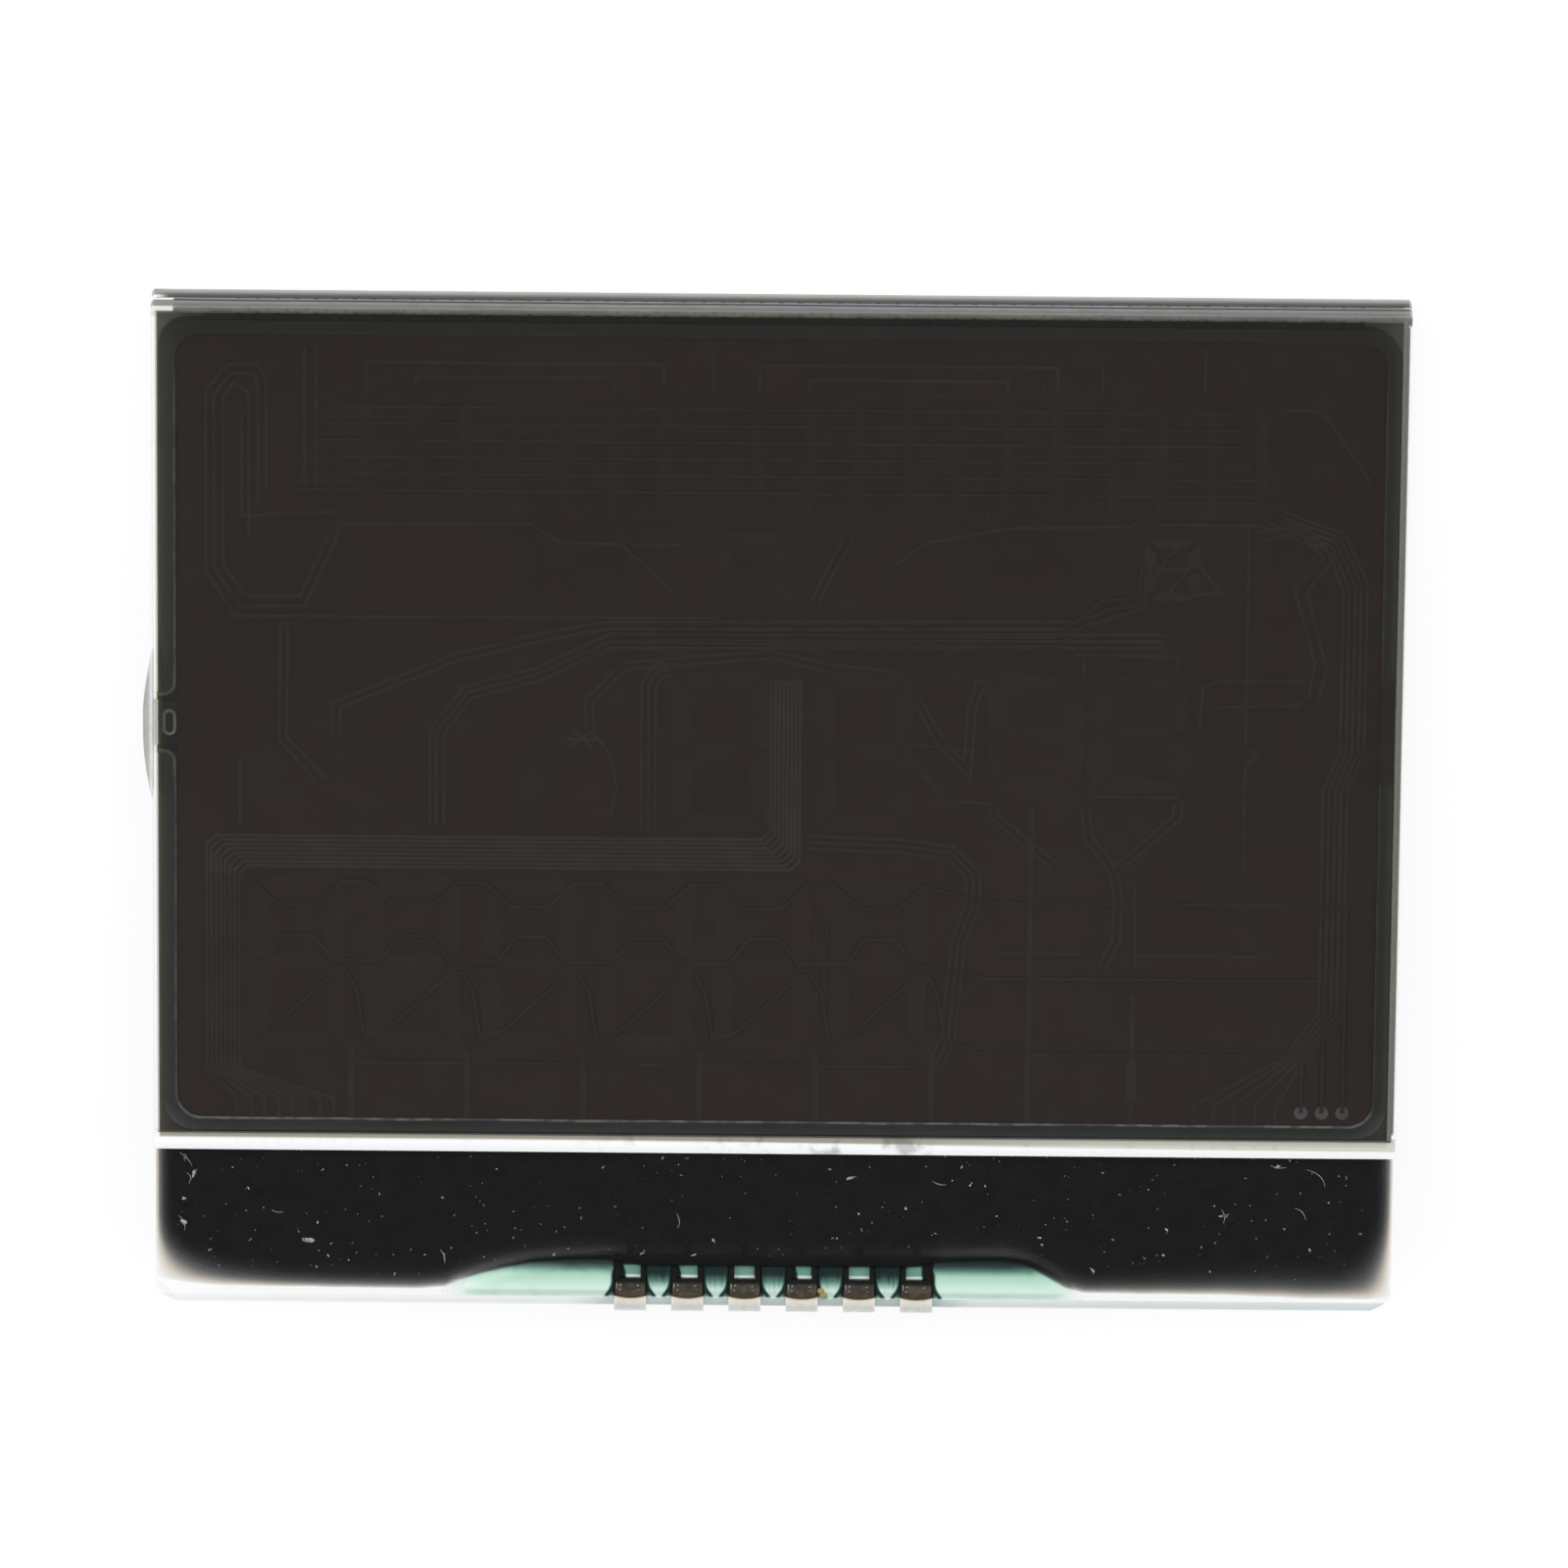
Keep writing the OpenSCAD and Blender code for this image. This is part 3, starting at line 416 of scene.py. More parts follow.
def pane_material():
    """The front glass: as the rear glass, with the beige strip by its lower edge and below it a white strip of
    painted reflection that also gives a faint painted glow.
    """
    m = Shade("front_glass_clear")
    wall, towards_y, _ = m.steepness()
    upper = m.upper_edge(wall, towards_y)
    wave = m.times(m.maths("SUBTRACT", m.noise(0.08, 2.0), 0.5), 0.25)
    level = m.maths("ADD", m.z, wave)
    tones = m.mix(m.step(m.z, 2.0, GLASS_TOP), (0.25, 0.25, 0.243), (0.2, 0.203, 0.188))
    tones = m.mix(m.band(level, 1.3, 1.5, 0.06), tones, (0.32, 0.32, 0.34))
    tones = m.mix(m.band(level, 1.54, 1.72, 0.07), tones, (0.075, 0.075, 0.08))
    tones = m.mix(m.band(level, 1.8, 1.98, 0.08), tones, (0.31, 0.31, 0.33))
    streak = m.times(m.step(m.noise(0.6, 5.0), 0.4, 0.7), 0.25)
    tones = m.mix(streak, tones, (0.12, 0.12, 0.115))
    tip = m.step(m.x, -26.0, -26.1)
    tones = m.mix(tip, tones, m.mix(m.step(m.z, 1.5, 1.7), (0.97, 0.97, 0.97), (0.30, 0.29, 0.28)))
    # The strips run down a little to the right
    low_strip = m.step(m.y, -14.55, -14.68)
    slanted = m.maths("ADD", m.y, m.step(m.x, -12.0, GLASS_SIDE, 0.0, 0.24))
    # The white strip is a painted reflection off the glass's lower end face.
    white = m.step(slanted, -14.95, -15.1)
    beige = m.times(m.band(slanted, -14.95, -13.5, 0.05), m.step(m.x, -26.78, -26.7))
    smear = m.times(m.band(m.x, -7.0, 7.5, 1.5), m.step(m.noise(0.5, 5.0), 0.5, 0.62))
    strip = m.mix(white, (1.0, 0.99, 0.93), (0.97, 0.985, 1.0))
    strip = m.mix(beige, strip, m.mix(m.step(m.x, 2.0, 16.0), (0.41, 0.39, 0.32), (0.62, 0.61, 0.54)))
    strip = m.mix(m.times(smear, 0.5), strip, (0.12, 0.12, 0.12))
    face = m.mix(low_strip, (0.93, 0.97, 0.95), strip)
    # The margin above the film, with faint ticks where tracks were cut
    top_strip = m.step(m.y, 22.7, 22.9)
    margin = m.mix(m.step(m.y, 23.22, 23.04), m.vary((0.175, 0.177, 0.163), 0.12, 0.5),
                   m.vary((0.12, 0.12, 0.102), 0.2, 0.7))
    cell = m.maths("FRACT", m.maths("DIVIDE", m.maths("ADD", m.x, 24.03), 0.83))
    tick = m.times(m.band(cell, 0.46, 0.54, 0.08), m.step(m.y, 23.28, 23.2))
    patchy = m.times(m.step(m.x, -24.6, -24.3), m.step(m.noise(0.7), 0.35, 0.6, 0.1, 0.45))
    margin = m.mix(m.times(tick, patchy), margin, (0.045, 0.045, 0.04))
    margin = m.mix(tip, margin, (0.86, 0.86, 0.82))
    face = m.mix(top_strip, face, margin)
    side = m.mix(low_strip, (0.88, 0.88, 0.86), (0.93, 0.95, 0.95))
    colour = m.mix(upper, m.mix(wall, face, side), tones)
    alpha = m.mix(low_strip, (0.05, 0.05, 0.05), (0.85, 0.85, 0.85))
    olive = m.times(m.band(m.x, 26.6, 26.92, 0.03), m.band(m.y, -14.4, 22.8, 0.1))
    colour = m.mix(olive, colour, (0.15, 0.148, 0.115))
    alpha = m.mix(olive, alpha, (0.9, 0.9, 0.9))
    alpha = m.mix(top_strip, alpha, (0.95, 0.95, 0.95))
    alpha = m.mix(wall, alpha, (0.4, 0.4, 0.4))
    alpha = m.mix(upper, alpha, (0.95, 0.95, 0.95))
    gloss = m.times(m.maths("SUBTRACT", 1.0, upper), 0.4)
    # Faint painted glow on the white strip; nothing there gives light.
    glow = m.times(white, m.times(low_strip, 0.07))
    return m.finish(colour, 0.08, alpha=alpha, Specular_IOR_Level=gloss, Emission_Color=(1, 1, 1),
                    Emission_Strength=glow)


def resin_material():
    m = Shade("port_resin")
    wall, *_ = m.steepness()
    streak = m.band(m.z, 1.5, 1.75, 0.1)
    # Painted shade: the walls darker than the top.
    colour = m.mix(wall, (0.56, 0.56, 0.53), (0.28, 0.28, 0.27))
    colour = m.mix(m.times(streak, 0.5), colour, (0.25, 0.25, 0.25))
    # Painted highlight: white at the far left end.
    colour = m.mix(m.step(m.x, -27.2, -27.05), colour, (0.97, 0.98, 0.98))
    alpha = m.step(m.noise(1.2), 0.3, 0.7, 0.55, 0.75)
    return m.finish(colour, 0.1, alpha=alpha, bump=m.noise(1.5), depth=0.03)


def coating_material():
    """Black coating over the ledge, thinning to nothing at its borders."""
    m = Shade("ledge_black")
    cover = m.attribute("cover")
    grain = m.step(m.noise(6.0, 5.0), 0.3, 0.75)
    dark = m.mix(grain, (0.0068, 0.0068, 0.0073), (0.0088, 0.0088, 0.0093))
    fringe = m.mix(m.band(m.x, -14.0, 13.0, 1.0), (0.42, 0.30, 0.15), dark)
    colour = m.mix(m.step(cover, 0.4, 0.9), fringe, dark)
    rough = m.step(m.noise(1.1, 4.0), 0.3, 0.7, 0.3, 0.5)
    return m.finish(colour, rough, alpha=cover, bump=m.noise(3.0, 4.0), depth=0.008, Specular_IOR_Level=0.15)


def adhesive_material():
    """Mint adhesive with a painted highlight along its thin lower border and in the clip windows; darker under
    the coating and by the clips.
    """
    m = Shade("mint_adhesive")
    shade = m.attribute("shade")
    edge = m.attribute("rim_light")
    light = m.mix(m.step(m.y, -21.2, -22.6), (0.33, 0.60, 0.43), (0.72, 0.92, 0.82))
    light = m.mix(m.step(m.noise(1.2, 5.0), 0.45, 0.8, 0.0, 0.25), light, (0.34, 0.58, 0.48))
    teal = m.mix(m.step(shade, 0.35, 0.85), (0.085, 0.22, 0.175), (0.012, 0.024, 0.023))
    colour = m.mix(m.step(shade, 0.0, 0.55), light, teal)
    # Painted highlight along the thin lower border and in the clip windows.
    colour = m.mix(edge, colour, (0.80, 0.93, 0.88))
    gloss = m.times(m.maths("SUBTRACT", 1.0, shade, True), 0.4)
    return m.finish(colour, 0.2, alpha=m.attribute("body"), bump=m.noise(0.8), depth=0.02,
                    Specular_IOR_Level=gloss)


def clip_material():
    """Tinned strip: black by the coating, dull brown on the glass, a cream line round the bend, and pale metal
    there painted as the reflection of the white surroundings.
    """
    m = Shade("clip_metal")
    local = m.maths("SUBTRACT", m.maths("FRACT", m.maths("DIVIDE", m.x, LEAD_PITCH)), 0.5)
    local = m.times(local, LEAD_PITCH / CLIP_HALF)
    off = m.maths("ABSOLUTE", local)
    bow = m.times(m.times(off, off), 0.11)
    along_arm = m.maths("SUBTRACT", m.y, bow)
    # Mask for the bend, where the painted reflection goes.
    bend_reflection = m.step(along_arm, -22.66, -22.72)
    cream = m.band(along_arm, -22.79, -22.68, 0.03)
    brown = m.mix(m.step(m.noise(2.5, 5.0), 0.35, 0.7), (0.05, 0.046, 0.038), (0.105, 0.09, 0.068))
    brown = m.mix(m.step(m.y, -22.12, -21.9), brown, (0.011, 0.011, 0.010))
    warm = m.step(along_arm, -22.45, -22.62)
    brown = m.mix(m.times(warm, 0.75), brown, (0.075, 0.045, 0.018))
    brown = m.mix(m.step(off, 0.88, 0.98), brown, (0.010, 0.011, 0.009))
    # Pale metal round the bend, lighter along the clip's sides: painted reflection of the white surroundings.
    metal = m.mix(m.step(m.z, 1.3, 0.9), m.vary((0.88, 0.87, 0.82), 0.05, 3.0), (0.62, 0.62, 0.60))
    metal = m.mix(m.band(off, 0.86, 1.2, 0.04), metal, (0.93, 0.92, 0.88))
    metal = m.mix(cream, metal, (0.86, 0.76, 0.58))
    colour = m.mix(bend_reflection, brown, metal)
    behind = m.step(m.z, 0.4, 0.0)
    colour = m.mix(behind, colour, (0.66, 0.65, 0.62))
    rough = m.step(m.noise(4.0, 4.0), 0.3, 0.7, 0.28, 0.42)
    gloss = m.mix(bend_reflection, (0.15, 0.15, 0.15), (0.5, 0.5, 0.5))
    return m.finish(colour, rough, metal=0.25, bump=m.noise(6.0), depth=0.01, Specular_IOR_Level=gloss)


def plain_material(name, colour, rough=0.5, share=0.12, scale=1.0, metal=0.0, **inputs):
    """A finish with slight grain, for parts that are mostly out of sight."""
    m = Shade(name)
    colour = m.vary(colour, share, scale)
    return m.finish(colour, rough, metal=metal, bump=m.noise(scale * 3), depth=0.01, **inputs)


def floor_material():
    """White floor: seen directly or in glass and metal it is mostly plain white, with a faint shadow."""
    m = Shade("floor_white")
    path = m.add("ShaderNodeLightPath").outputs
    seen = m.maths("MAXIMUM", path["Is Glossy Ray"], path["Is Transmission Ray"])
    seen = m.maths("MAXIMUM", path["Is Camera Ray"], seen)
    colour = m.mix(m.times(seen, 0.8), m.vary((0.985, 0.985, 0.985), 0.003, 0.02), (0, 0, 0))
    return m.finish(colour, 0.9, Specular_IOR_Level=0.0, Emission_Color=(1, 1, 1),
                    Emission_Strength=m.times(seen, 0.84))


# Mesh building
def new_piece(name, mesh, slot, *replaced):
    piece = bpy.data.objects.new(name, mesh)
    bpy.context.collection.objects.link(piece)
    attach(piece, BODY)
    if replaced:
        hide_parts(*replaced)


def mesh_from(name, points, faces, material, smoothed=False):
    """A mesh from points in mm."""
    mesh = bpy.data.meshes.new(name)
    mesh.from_pydata([[c * MM for c in p] for p in points], [], faces)
    mesh.validate()
    mesh.materials.append(material)
    mesh.polygons.foreach_set("use_smooth", [smoothed] * len(mesh.polygons))
    return mesh


def stacked(rings):
    """Points and faces of walls between closed rings that have the same number of points."""
    count = len(rings[0])
    points = [p for ring in rings for p in ring]
    faces = []
    for r in range(len(rings) - 1):
        for i in range(count):
            a, b = r * count + i, r * count + (i + 1) % count
            faces.append((a, b, b + count, a + count))
    return points, faces


def cut_box(x1, x2, y1, y2, cut, z):
    """A ring round a box with cut corners, at height z."""
    return [
        (x1 + cut, y1, z), (x2 - cut, y1, z), (x2, y1 + cut, z), (x2, y2 - cut, z),
        (x2 - cut, y2, z), (x1 + cut, y2, z), (x1, y2 - cut, z), (x1, y1 + cut, z),
    ]


def inset(corners, by):
    low, high = corners
    return low[0] + by, high[0] - by, low[1] + by, high[1] - by


def add_front_film():
    corners = box_mm("front_polariser")
    low, high = corners
    soft = 0.03
    rings = [
        cut_box(*inset(corners, 0.0), 0.05, low[2]),
        cut_box(*inset(corners, 0.0), 0.05, high[2] - soft),
        cut_box(*inset(corners, soft), 0.05, high[2]),
    ]
    points, faces = stacked(rings)
    faces.append(tuple(range(len(points) - 8, len(points))))
    mesh = mesh_from("front_film", points, faces, film_material())
    new_piece("front_film", mesh, "front_polariser", "front_polariser")


def add_front_pane():
    glass, film = box_mm("front_glass"), box_mm("front_polariser")
    low, high = glass
    nick = 0.03
    rings = [
        cut_box(*inset(glass, 0.0), 0.1, low[2]),
        cut_box(*inset(glass, 0.0), 0.1, high[2] - nick),
        cut_box(*inset(glass, nick), 0.1, high[2]),
        cut_box(*inset(film, 0.01), 0.05, high[2]),
    ]
    points, faces = stacked(rings)
    mesh = mesh_from("front_pane", points, faces, pane_material())
    new_piece("front_pane", mesh, "front_glass", "front_glass")


def add_crystal():
    """The fill of the cell, seen as the dark field under the conductor films."""
    mesh = nodes["liquid_crystal"].data.copy()
    mesh.name = "crystal_fill"
    work = bmesh.new()
    work.from_mesh(mesh)
    work.normal_update()
    bmesh.ops.delete(work, geom=[f for f in work.faces if f.normal.z < 0.5], context="FACES")
    for vert in work.verts:
        vert.co.z = (LEDGE_Z + 0.002) * MM
    work.to_mesh(mesh)
    work.free()
    mesh.materials.clear()
    mesh.materials.append(crystal_material())
    new_piece("crystal_fill", mesh, "liquid_crystal", "liquid_crystal")


def height_sheet(name, xs, ys, measure, material, slot):
    """A sheet over the ledge whose height and vertex values come from measure(x, y)."""
    points, values = [], {}
    for y in ys:
        for x in xs:
            z, marks = measure(x, y)
            points.append((x, y, z))
            for key, value in marks.items():
                values.setdefault(key, []).append(value)
    across = len(xs)
    faces = [
        (r * across + c, r * across + c + 1, (r + 1) * across + c + 1, (r + 1) * across + c)
        for r in range(len(ys) - 1) for c in range(across - 1)
    ]
    mesh = mesh_from(name, points, faces, material, True)
    for key, numbers in values.items():
        layer = mesh.attributes.new(key, "FLOAT", "POINT")
        layer.data.foreach_set("value", numbers)
    new_piece(name, mesh, slot, slot)


def spread(first, last, count):
    return [first + (last - first) * i / (count - 1) for i in range(count)]


# The lower border of the coating, as x and y in mm
COATING_EDGE = [
    (-27, -21.9), (-25.5, -22.1), (-24, -22.2), (-20.9, -22.22), (-15.4, -22.25), (-14.3, -22.15),
    (-13.8, -21.9), (-12.8, -21.55), (-11.5, -21.2), (-10.6, -21.0), (-9.1, -20.84), (-7.4, -20.82),
    (-6.6, -20.95), (-5.8, -21.12), (5.8, -21.12), (6.6, -20.95), (7.4, -20.82), (10, -20.7), (11.1, -20.95),
    (12, -21.5), (12.8, -22.0), (13.6, -22.2), (19.7, -22.25), (24, -22.4), (26, -22.4), (27, -22.3),
]


def coating_cover(x, y):
    """How fully the coating covers the ledge: its sides thin out more slowly further down."""
    down = smooth(y, STEP_Y, LEDGE_END)
    left = 1.0 - math.exp(-(x + GLASS_SIDE) / (0.12 + 1.6 * down ** 6))
    right = 1.0 - math.exp(-(GLASS_SIDE - x) / (0.12 + 0.55 * down ** 3.5))
    edge = along(x, COATING_EDGE) + 0.03 * wander(x, y, 1.4)
    soft = 0.19 + 0.13 * smooth(x, 12.0, 26.0) + 0.1 * smooth(-x, 20.0, 26.0)
    low = 1.0 - math.exp(-max(0.0, y - edge + 0.16) / soft)
    return max(0.0, left) * max(0.0, right) * low


def add_coating():
    def measure(x, y):
        cover = coating_cover(x, y)
        lump = 0.015 * wander(x, y, 1.6, 2.0)
        return LEDGE_Z + 0.025 + (COATING_RISE + lump) * cover ** COATING_THINNING, {"cover": cover}

    xs = spread(-26.95, 26.95, 330)
    ys = spread(STEP_Y - 0.001, -22.8, 96)
    height_sheet("ledge_black", xs, ys, measure, coating_material(), "ledge_coating")


# The upper border of the adhesive, as x and y in mm
ADHESIVE_TOP = [
    (-14.4, -22.4), (-13.8, -21.9), (-12.8, -21.4), (-11.5, -21.0), (-10.6, -20.75), (-9.1, -20.6),
    (-7.4, -20.5), (7.4, -20.5), (10, -20.45), (11.1, -20.6), (12, -21.1), (12.8, -21.7), (13.3, -22.4),
]
# The clear part of each clip's window, from its left to its right border, from the clip's middle
WINDOWS = [(-0.12, 0.5), (-0.2, 0.46), (-0.46, 0.44), (-0.12, 0.42), (-0.42, 0.5), (-0.46, 0.25)]


def adhesive_marks(x, y):
    """Height, darkness and body of the adhesive at a place on the ledge."""
    lead = min(range(LEAD_COUNT), key=lambda i: abs(x - lead_x(i)))
    aside = x - lead_x(lead)
    beside = abs(aside) - CLIP_HALF
    down = smooth(y, -21.6, ADHESIVE_END)
    flare = 0.02 + 0.31 * down ** 2.2
    wedge = math.exp(-((beside - flare) / 0.1) ** 2) * smooth(y, -20.9, -21.6)
    inner = smooth(beside, flare + 0.05, flare - 0.05) * smooth(y, -22.86, -22.45)
    between = abs(x) < lead_x(LEAD_COUNT - 1) + CLIP_HALF
    if between:
        top_dark = smooth(y, -22.6, -21.1)
        inner *= 0.85
        streak = 0.2 * max(0.0, wander(x * 5.0, y * 0.5, 0.5, 3.0)) * smooth(y, -22.7, -22.0)
    else:
        top_dark = smooth(y, -21.75, -20.85)
        inner *= 0.8
        streak = 0.08 * max(0.0, wander(x, y, 0.5, 3.0))
    shade = min(1.0, max(wedge, top_dark, inner) + streak)
    # Painted highlight along the thin lower border.
    rim_light = 0.7 * smooth(y, ADHESIVE_END + 0.1, ADHESIVE_END + 0.02)
    if beside < -0.1:
        left, right = WINDOWS[lead]
        slant = 0.25 * (y + 22.0)
        clear = smooth(aside, left - slant - 0.05, left - slant + 0.05)
        clear *= smooth(-aside, -right - 0.05, -right + 0.05)
        shade = 1.0 - clear * (1.0 - max(0.36, smooth(y, -21.36, -21.14)))
        # In a window, a painted reflection of the clip's cut edge as a light line along its lower border.
        rim_light = 0.85 * clear * smooth(y, -21.66, -21.74)
    top = along(x, ADHESIVE_TOP)
    rise = smooth(y, top, top - 0.9)
    foot = smooth(y, ADHESIVE_END, ADHESIVE_END + 0.5)
    body = (0.96 + 0.04 * shade) * smooth(y, top + 0.1, top - 0.3)
    ends = smooth(x, -14.5, -12.6) * smooth(-x, -13.5, -12.0)
    body *= 0.25 + 0.75 * ends
    height = 0.05 + 0.26 * rise * foot * ends
    height += 0.08 * math.exp(-(max(beside, 0) / 0.14) ** 2) * foot * rise
    if beside < 0.03:
        height = 0.03
    return LEDGE_Z + height, {"shade": shade, "rim_light": rim_light, "body": body}


def add_adhesive():
    xs = spread(-14.5, 13.5, 620)
    ys = spread(-20.4, ADHESIVE_END, 60)
    height_sheet("mint_adhesive", xs, ys, adhesive_marks, adhesive_material(), "clip_adhesive")


FLAKE_SCALE = 1.35
# Larger flakes of dust on the coating: x, y and size in mm before that scale
FLAKES = [
    (-20.32, -19.99, 0.36), (-14.38, -20.71, 0.22), (3.38, -16.86, 0.24), (19.67, -18.5, 0.28),
    (17.12, -19.17, 0.12), (17.01, -20.37, 0.1), (13.94, -21.14, 0.16), (-2.62, -19.87, 0.15),
    (-25.75, -19.21, 0.26), (-25.66, -16.17, 0.2), (-25.27, -16.9, 0.26), (-25.71, -18.1, 0.16),
    (21.94, -16.18, 0.2), (25.58, -19.28, 0.13), (5.74, -18.27, 0.12), (-4.87, -16.02, 0.12),
    (-3.8, -16.01, 0.11), (-5.74, -20.5, 0.14), (-3.47, -20.55, 0.14), (-9.59, -20.6, 0.1),
    (-24.6, -20.5, 0.12), (-22.9, -17.6, 0.09), (-17.2, -17.8, 0.08), (-8.4, -18.9, 0.1),
    (9.2, -17.2, 0.09), (11.6, -19.6, 0.1), (23.4, -20.1, 0.11), (-12.1, -16.6, 0.08),
]
# Fibres: start, bend and end in mm
FIBRES = [
    ((-4.25, -18.6), (-4.0, -19.0), (-4.2, -19.3)), ((23.2, -16.3), (23.95, -16.5), (24.0, -17.1)),
    ((22.7, -18.1), (23.1, -18.2), (23.2, -18.65)), ((-25.9, -15.95), (-25.5, -16.2), (-25.35, -16.6)),
    ((-25.6, -16.9), (-25.3, -17.05), (-25.5, -17.4)), ((-25.95, -18.9), (-25.6, -19.2), (-25.7, -19.6)),
    ((19.5, -18.2), (19.75, -18.5), (19.6, -18.85)), ((-14.55, -20.4), (-14.3, -20.7), (-14.35, -21.05)),
    ((21.6, -16.1), (21.9, -16.3), (22.3, -16.2)), ((13.8, -21.0), (14.1, -21.1), (13.95, -21.3)),
    ((6.9, -17.0), (7.2, -17.2), (7.5, -17.15)), ((-21.9, -18.6), (-21.7, -18.75), (-21.4, -18.7)),
]


def coating_top(x, y):
    """A height just above the coating and its lumps."""
    return LEDGE_Z + 0.03 + (COATING_RISE + 0.015) * coating_cover(x, y) ** COATING_THINNING


def add_dust():
    """Flakes and specks of dust, each a small ragged plate lying on the coating."""
    rng = random.Random(7)
    flakes = [(x, y, FLAKE_SCALE * size) for x, y, size in FLAKES]
    for low, high in [(0.07, 0.14)] * 90 + [(0.03, 0.07)] * 260:
        spot = rng.uniform(-26.0, 25.7), rng.uniform(-21.6, -15.8)
        size = rng.uniform(low, high)
        if coating_cover(*spot) > 0.97:
            flakes.append((*spot, size))
    points, faces = [], []
    for x, y, size in flakes:
        count = 9
        start = len(points)
        tilt = rng.uniform(0, math.pi)
        long = rng.uniform(1.0, 1.9)
        z = coating_top(x, y) + 0.004
        points.append((x, y, z + size * 0.15))
        for i in range(count):
            a = 2 * math.pi * i / count
            r = size * 0.5 * rng.uniform(0.45, 1.1)
            u, v = r * long * math.cos(a), r / long * math.sin(a)
            across = x + u * math.cos(tilt) - v * math.sin(tilt)
            up = y + u * math.sin(tilt) + v * math.cos(tilt)
            points.append((across, up, z + rng.uniform(0, 0.01)))
        for i in range(count):
            faces.append((start, start + 1 + i, start + 1 + (i + 1) % count))
    m = Shade("dust_grey")
    colour = m.mix(m.step(m.noise(1.6), 0.4, 0.62), (0.09, 0.09, 0.095), (0.5, 0.5, 0.51))
    alpha = m.step(m.noise(9.0), 0.25, 0.6, 0.4, 0.95)
    mesh = mesh_from("ledge_dust", points, faces, m.finish(colour, 0.8, alpha=alpha))
    new_piece("ledge_dust", mesh, "ledge_coating")


def add_fibres():
    """Fine fibres lying on the coating, as thin ribbons swept along bent lines."""
    points, faces = [], []
    for first, bend, last in FIBRES:
        start = len(points)
        steps = 12
        for i in range(steps + 1):
            t = i / steps
            x, y = [(1 - t) ** 2 * a + 2 * t * (1 - t) * b + t * t * c for a, b, c in zip(first, bend, last)]
            dx, dy = [2 * (1 - t) * (b - a) + 2 * t * (c - b) for a, b, c in zip(first, bend, last)]
            size = math.hypot(dx, dy)
            half = 0.014 * (1 - 0.5 * abs(2 * t - 1))
            nx, ny = -dy / size * half, dx / size * half
            z = coating_top(x, y) + 0.008
            points += [(x - nx, y - ny, z), (x, y, z + 0.012), (x + nx, y + ny, z)]
        for i in range(steps):
            a = start + 3 * i
            faces += [(a, a + 1, a + 4, a + 3), (a + 1, a + 2, a + 5, a + 4)]
    mesh = mesh_from("ledge_fibres", points, faces, plain_material("fibre_grey", (0.42, 0.42, 0.42), 0.7))
    new_piece("ledge_fibres", mesh, "ledge_coating")


def add_dimples():
    """Coined bumps on the clips, in a lighter metal than the clip so that they show as painted glints."""
    spots = [(-0.58, -22.12, 0.035, 0.15), (-0.42, -22.08, 0.045, 0.05), (-0.44, -22.3, 0.045, 0.05),
             (0.34, -22.1, 0.06, 0.035), (0.36, -22.3, 0.05, 0.03)]
    points, faces = [], []
    rings, around = 3, 10
    for lead in range(LEAD_COUNT):
        for n, (dx, y, rx, ry) in enumerate(spots):
            if n == 4 and lead % 2:
                continue
            cx, top = lead_x(lead) + dx, clip_top(y)
            start = len(points)
            points.append((cx, y, top + 0.03))
            for r in range(1, rings + 1):
                for k in range(around):
                    a = 2 * math.pi * k / around
                    s = r / rings
                    z = top + 0.03 * (1 - s * s) - 0.004
                    points.append((cx + rx * s * math.cos(a), y + ry * s * math.sin(a), z))
            for k in range(around):
                faces.append((start, start + 1 + k, start + 1 + (k + 1) % around))
            for r in range(rings - 1):
                for k in range(around):
                    a = start + 1 + r * around + k
                    b = start + 1 + r * around + (k + 1) % around
                    faces.append((a, a + around, b + around, b))
    # Lighter than the clip's brown: the painted glint on each bump.
    metal = plain_material("dimple_glint_metal", (0.27, 0.25, 0.22), 0.4, metal=0.3, scale=4.0)
    mesh = mesh_from("clip_dimples", points, faces, metal, True)
    new_piece("clip_dimples", mesh, "clip_lead_1")


def clip_top(y):
    """Height of the upper face of a clip's front arm at a place along it."""
    return 1.66 if y < -21.9 else 1.6


def add_flux():
    """The bead of amber flux beside the fourth clip, in two merged lobes."""
    points, faces = [], []
    around, levels = 16, [(1.0, 0.0), (0.8, 0.07), (0.45, 0.12)]
    for cx, cy, size in ((2.08, -22.28, 0.15), (2.2, -22.5, 0.17)):
        start = len(points)
        for share, rise in levels:
            for i in range(around):
                a = 2 * math.pi * i / around
                r = size * share * (1 + 0.3 * wander(math.cos(a) + cx, math.sin(a) + cy, 0.6, 9.0))
                points.append((cx + r * math.cos(a), cy + r * 1.15 * math.sin(a), LEDGE_Z + 0.33 + rise))
        points.append((cx, cy, LEDGE_Z + 0.46))
        for r in range(len(levels) - 1):
            for i in range(around):
                a, b = start + r * around + i, start + r * around + (i + 1) % around
                faces.append((a, b, b + around, a + around))
        last = start + len(levels) * around
        for i in range(around):
            a = start + (len(levels) - 1) * around
            faces.append((a + i, a + (i + 1) % around, last))
    m = Shade("flux_amber")
    colour = m.mix(m.step(m.y, -22.3, -22.55), (0.46, 0.34, 0.10), (0.27, 0.31, 0.15))
    colour = m.mix(m.step(m.noise(2.0), 0.4, 0.7, 0.0, 0.4), colour, (0.40, 0.32, 0.13))
    mesh = mesh_from("flux_bead", points, faces, m.finish(colour, 0.25, alpha=0.75), True)
    new_piece("flux_bead", mesh, "clip_adhesive")


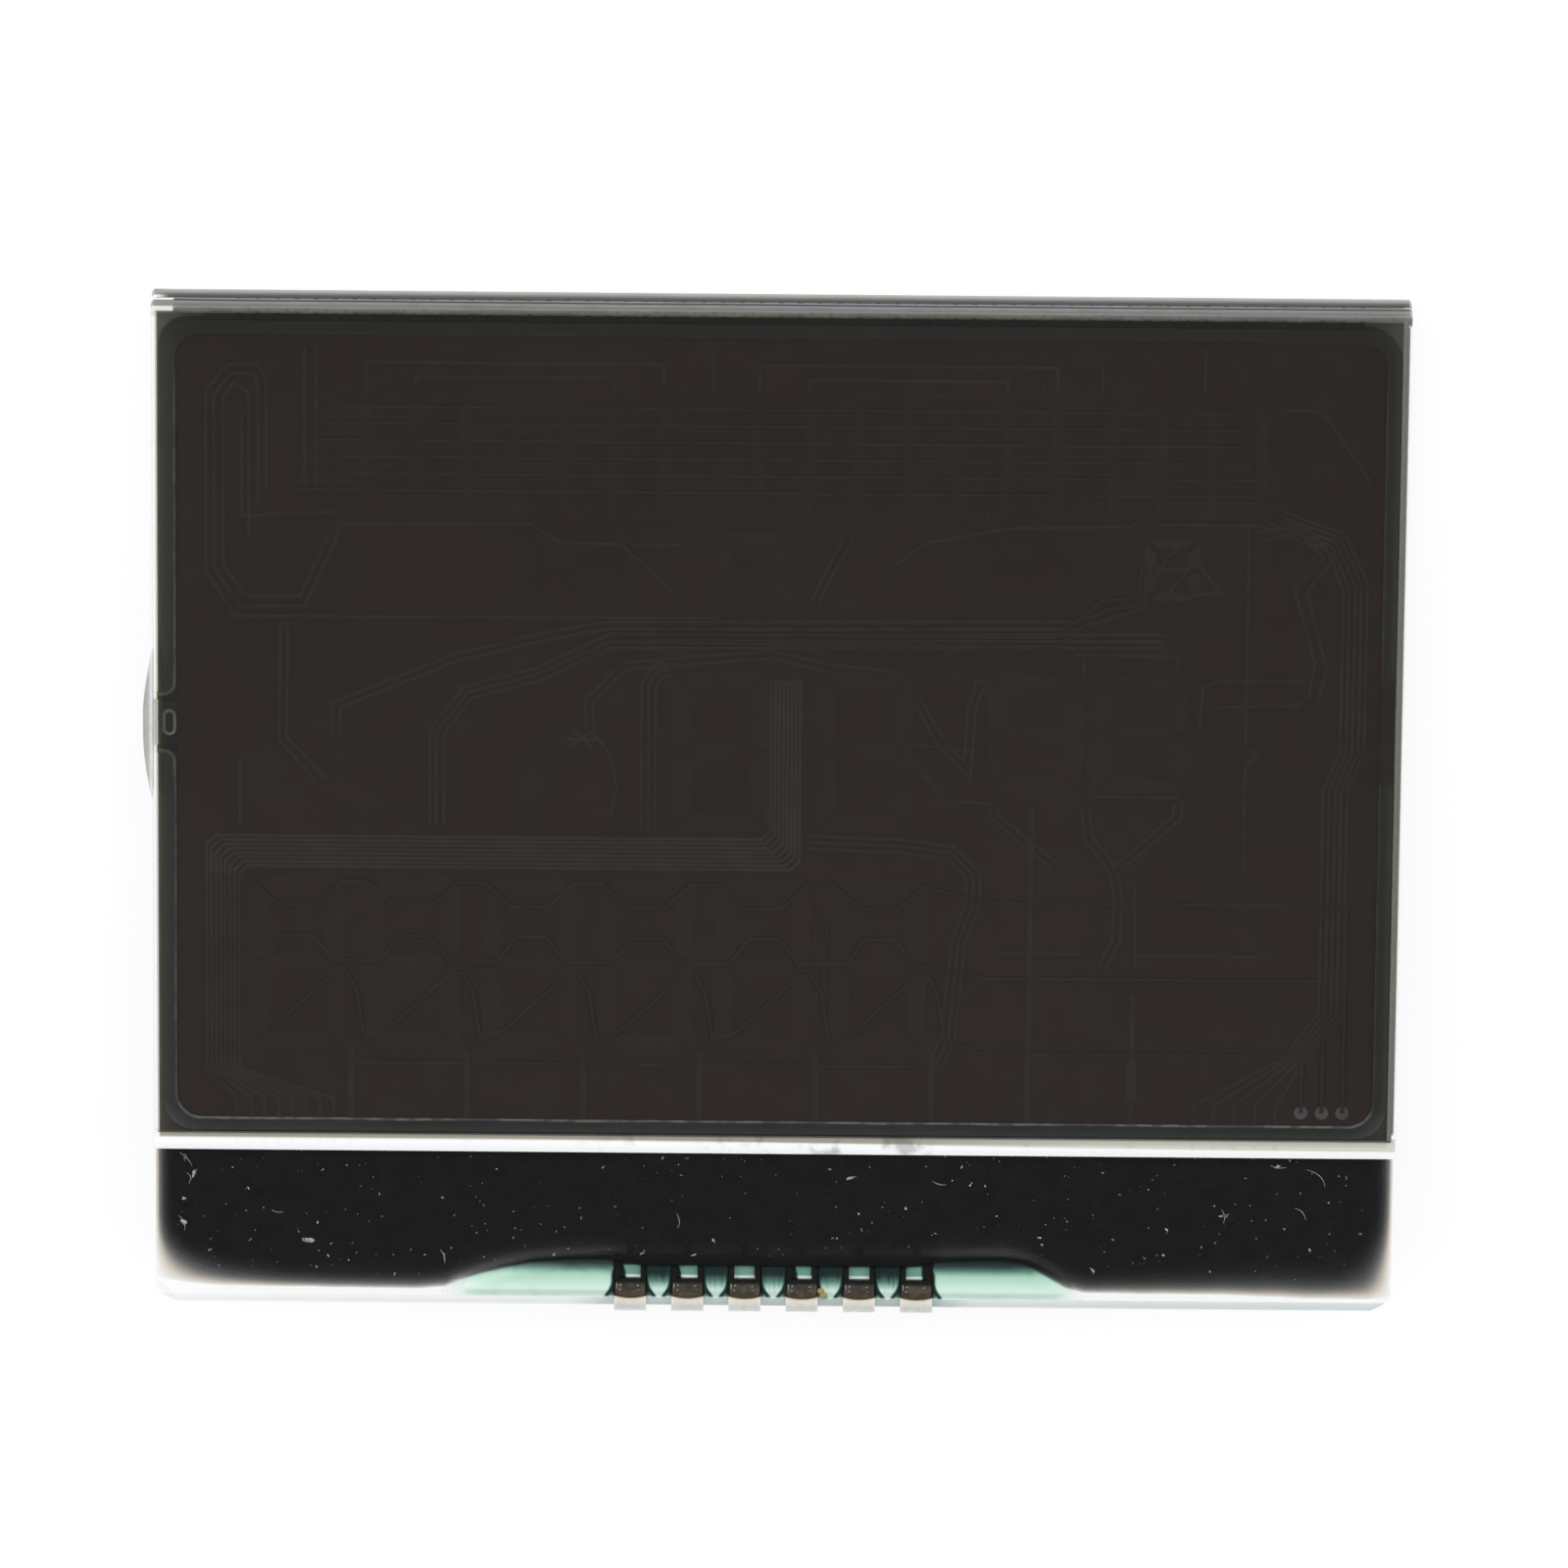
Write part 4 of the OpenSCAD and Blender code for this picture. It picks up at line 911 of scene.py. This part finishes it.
# Light and floor
def add_sun(name, azimuth, height, strength, spread_angle):
    lamp = bpy.data.lights.new(name, "SUN")
    lamp.energy = strength
    lamp.angle = math.radians(spread_angle)
    sun = bpy.data.objects.new(name, lamp)
    bpy.context.collection.objects.link(sun)
    a, e = math.radians(azimuth), math.radians(height)
    towards = Vector((math.cos(a) * math.cos(e), math.sin(a) * math.cos(e), math.sin(e)))
    sun.rotation_mode = "QUATERNION"
    sun.rotation_quaternion = towards.to_track_quat("Z", "Y")


def add_world():
    """White to the camera, and a dim grey room to everything else."""
    world = bpy.data.worlds.new("room")
    bpy.context.scene.world = world
    world.use_nodes = True
    tree = world.node_tree
    tree.nodes.clear()
    path = tree.nodes.new("ShaderNodeLightPath")
    white = tree.nodes.new("ShaderNodeBackground")
    white.inputs[0].default_value = (1, 1, 1, 1)
    room = tree.nodes.new("ShaderNodeBackground")
    room.inputs[0].default_value = (0.95, 0.98, 1, 1)
    room.inputs[1].default_value = 0.3
    mix = tree.nodes.new("ShaderNodeMixShader")
    out = tree.nodes.new("ShaderNodeOutputWorld")
    tree.links.new(path.outputs["Is Camera Ray"], mix.inputs[0])
    tree.links.new(room.outputs[0], mix.inputs[1])
    tree.links.new(white.outputs[0], mix.inputs[2])
    tree.links.new(mix.outputs[0], out.inputs[0])


def add_floor():
    """A white floor that touches the lead tips and the upper rear edge, on which the part lies."""
    low = [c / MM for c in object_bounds()[0]]
    rear_edge_y, reach = 22.95, 400
    slope = -low[2] / (rear_edge_y - low[1])
    points = []
    for y in (-reach, reach):
        z = low[2] + slope * (y - low[1]) - 0.02
        points += [(-reach, y, z), (reach, y, z)]
    mesh = mesh_from("floor", points, [(0, 1, 3, 2)], floor_material())
    floor = bpy.data.objects.new("floor", mesh)
    bpy.context.collection.objects.link(floor)


def give(node, material):
    mesh = nodes[node].data
    mesh.materials.clear()
    mesh.materials.append(material)


add_camera()
add_world()
add_floor()
add_sun("sun_left", 160, 42, 1.15, 50)
add_sun("sun_right", 20, 42, 1.0, 50)
add_sun("sun_top", 90, 58, 1.0, 40)

add_front_film()
add_front_pane()
add_crystal()
add_coating()
add_adhesive()
add_dust()
add_fibres()
add_dimples()
add_flux()

give("rear_polariser", rear_film_material())
give("rear_glass", rear_glass_material())
give("perimeter_seal", seal_material())
give("segment_electrodes", conductor_material("segment_film", 0.05))
give("common_electrodes", common_material())
dull = {"Specular_IOR_Level": 0.0}
give("port_island", plain_material("island_sealant", (0.26, 0.26, 0.25), 0.5, 0.2, 1.5, **dull))
give("crossover_dots", plain_material("crossover_paste", (0.16, 0.16, 0.16), 0.6, **dull))
give("end_seal", resin_material())
give("ledge_tracks", plain_material("ledge_conductor", (0.35, 0.38, 0.36), 0.3, metal=0.3))
give("chip_bond_film", plain_material("bond_film", (0.30, 0.26, 0.20), 0.5))
give("driver_chip", plain_material("chip_silicon", (0.16, 0.17, 0.19), 0.25, metal=0.4))
clip = clip_material()
for i in range(LEAD_COUNT):
    give(f"clip_lead_{i + 1}", clip)

bpy.context.scene.view_settings.view_transform = "Standard"
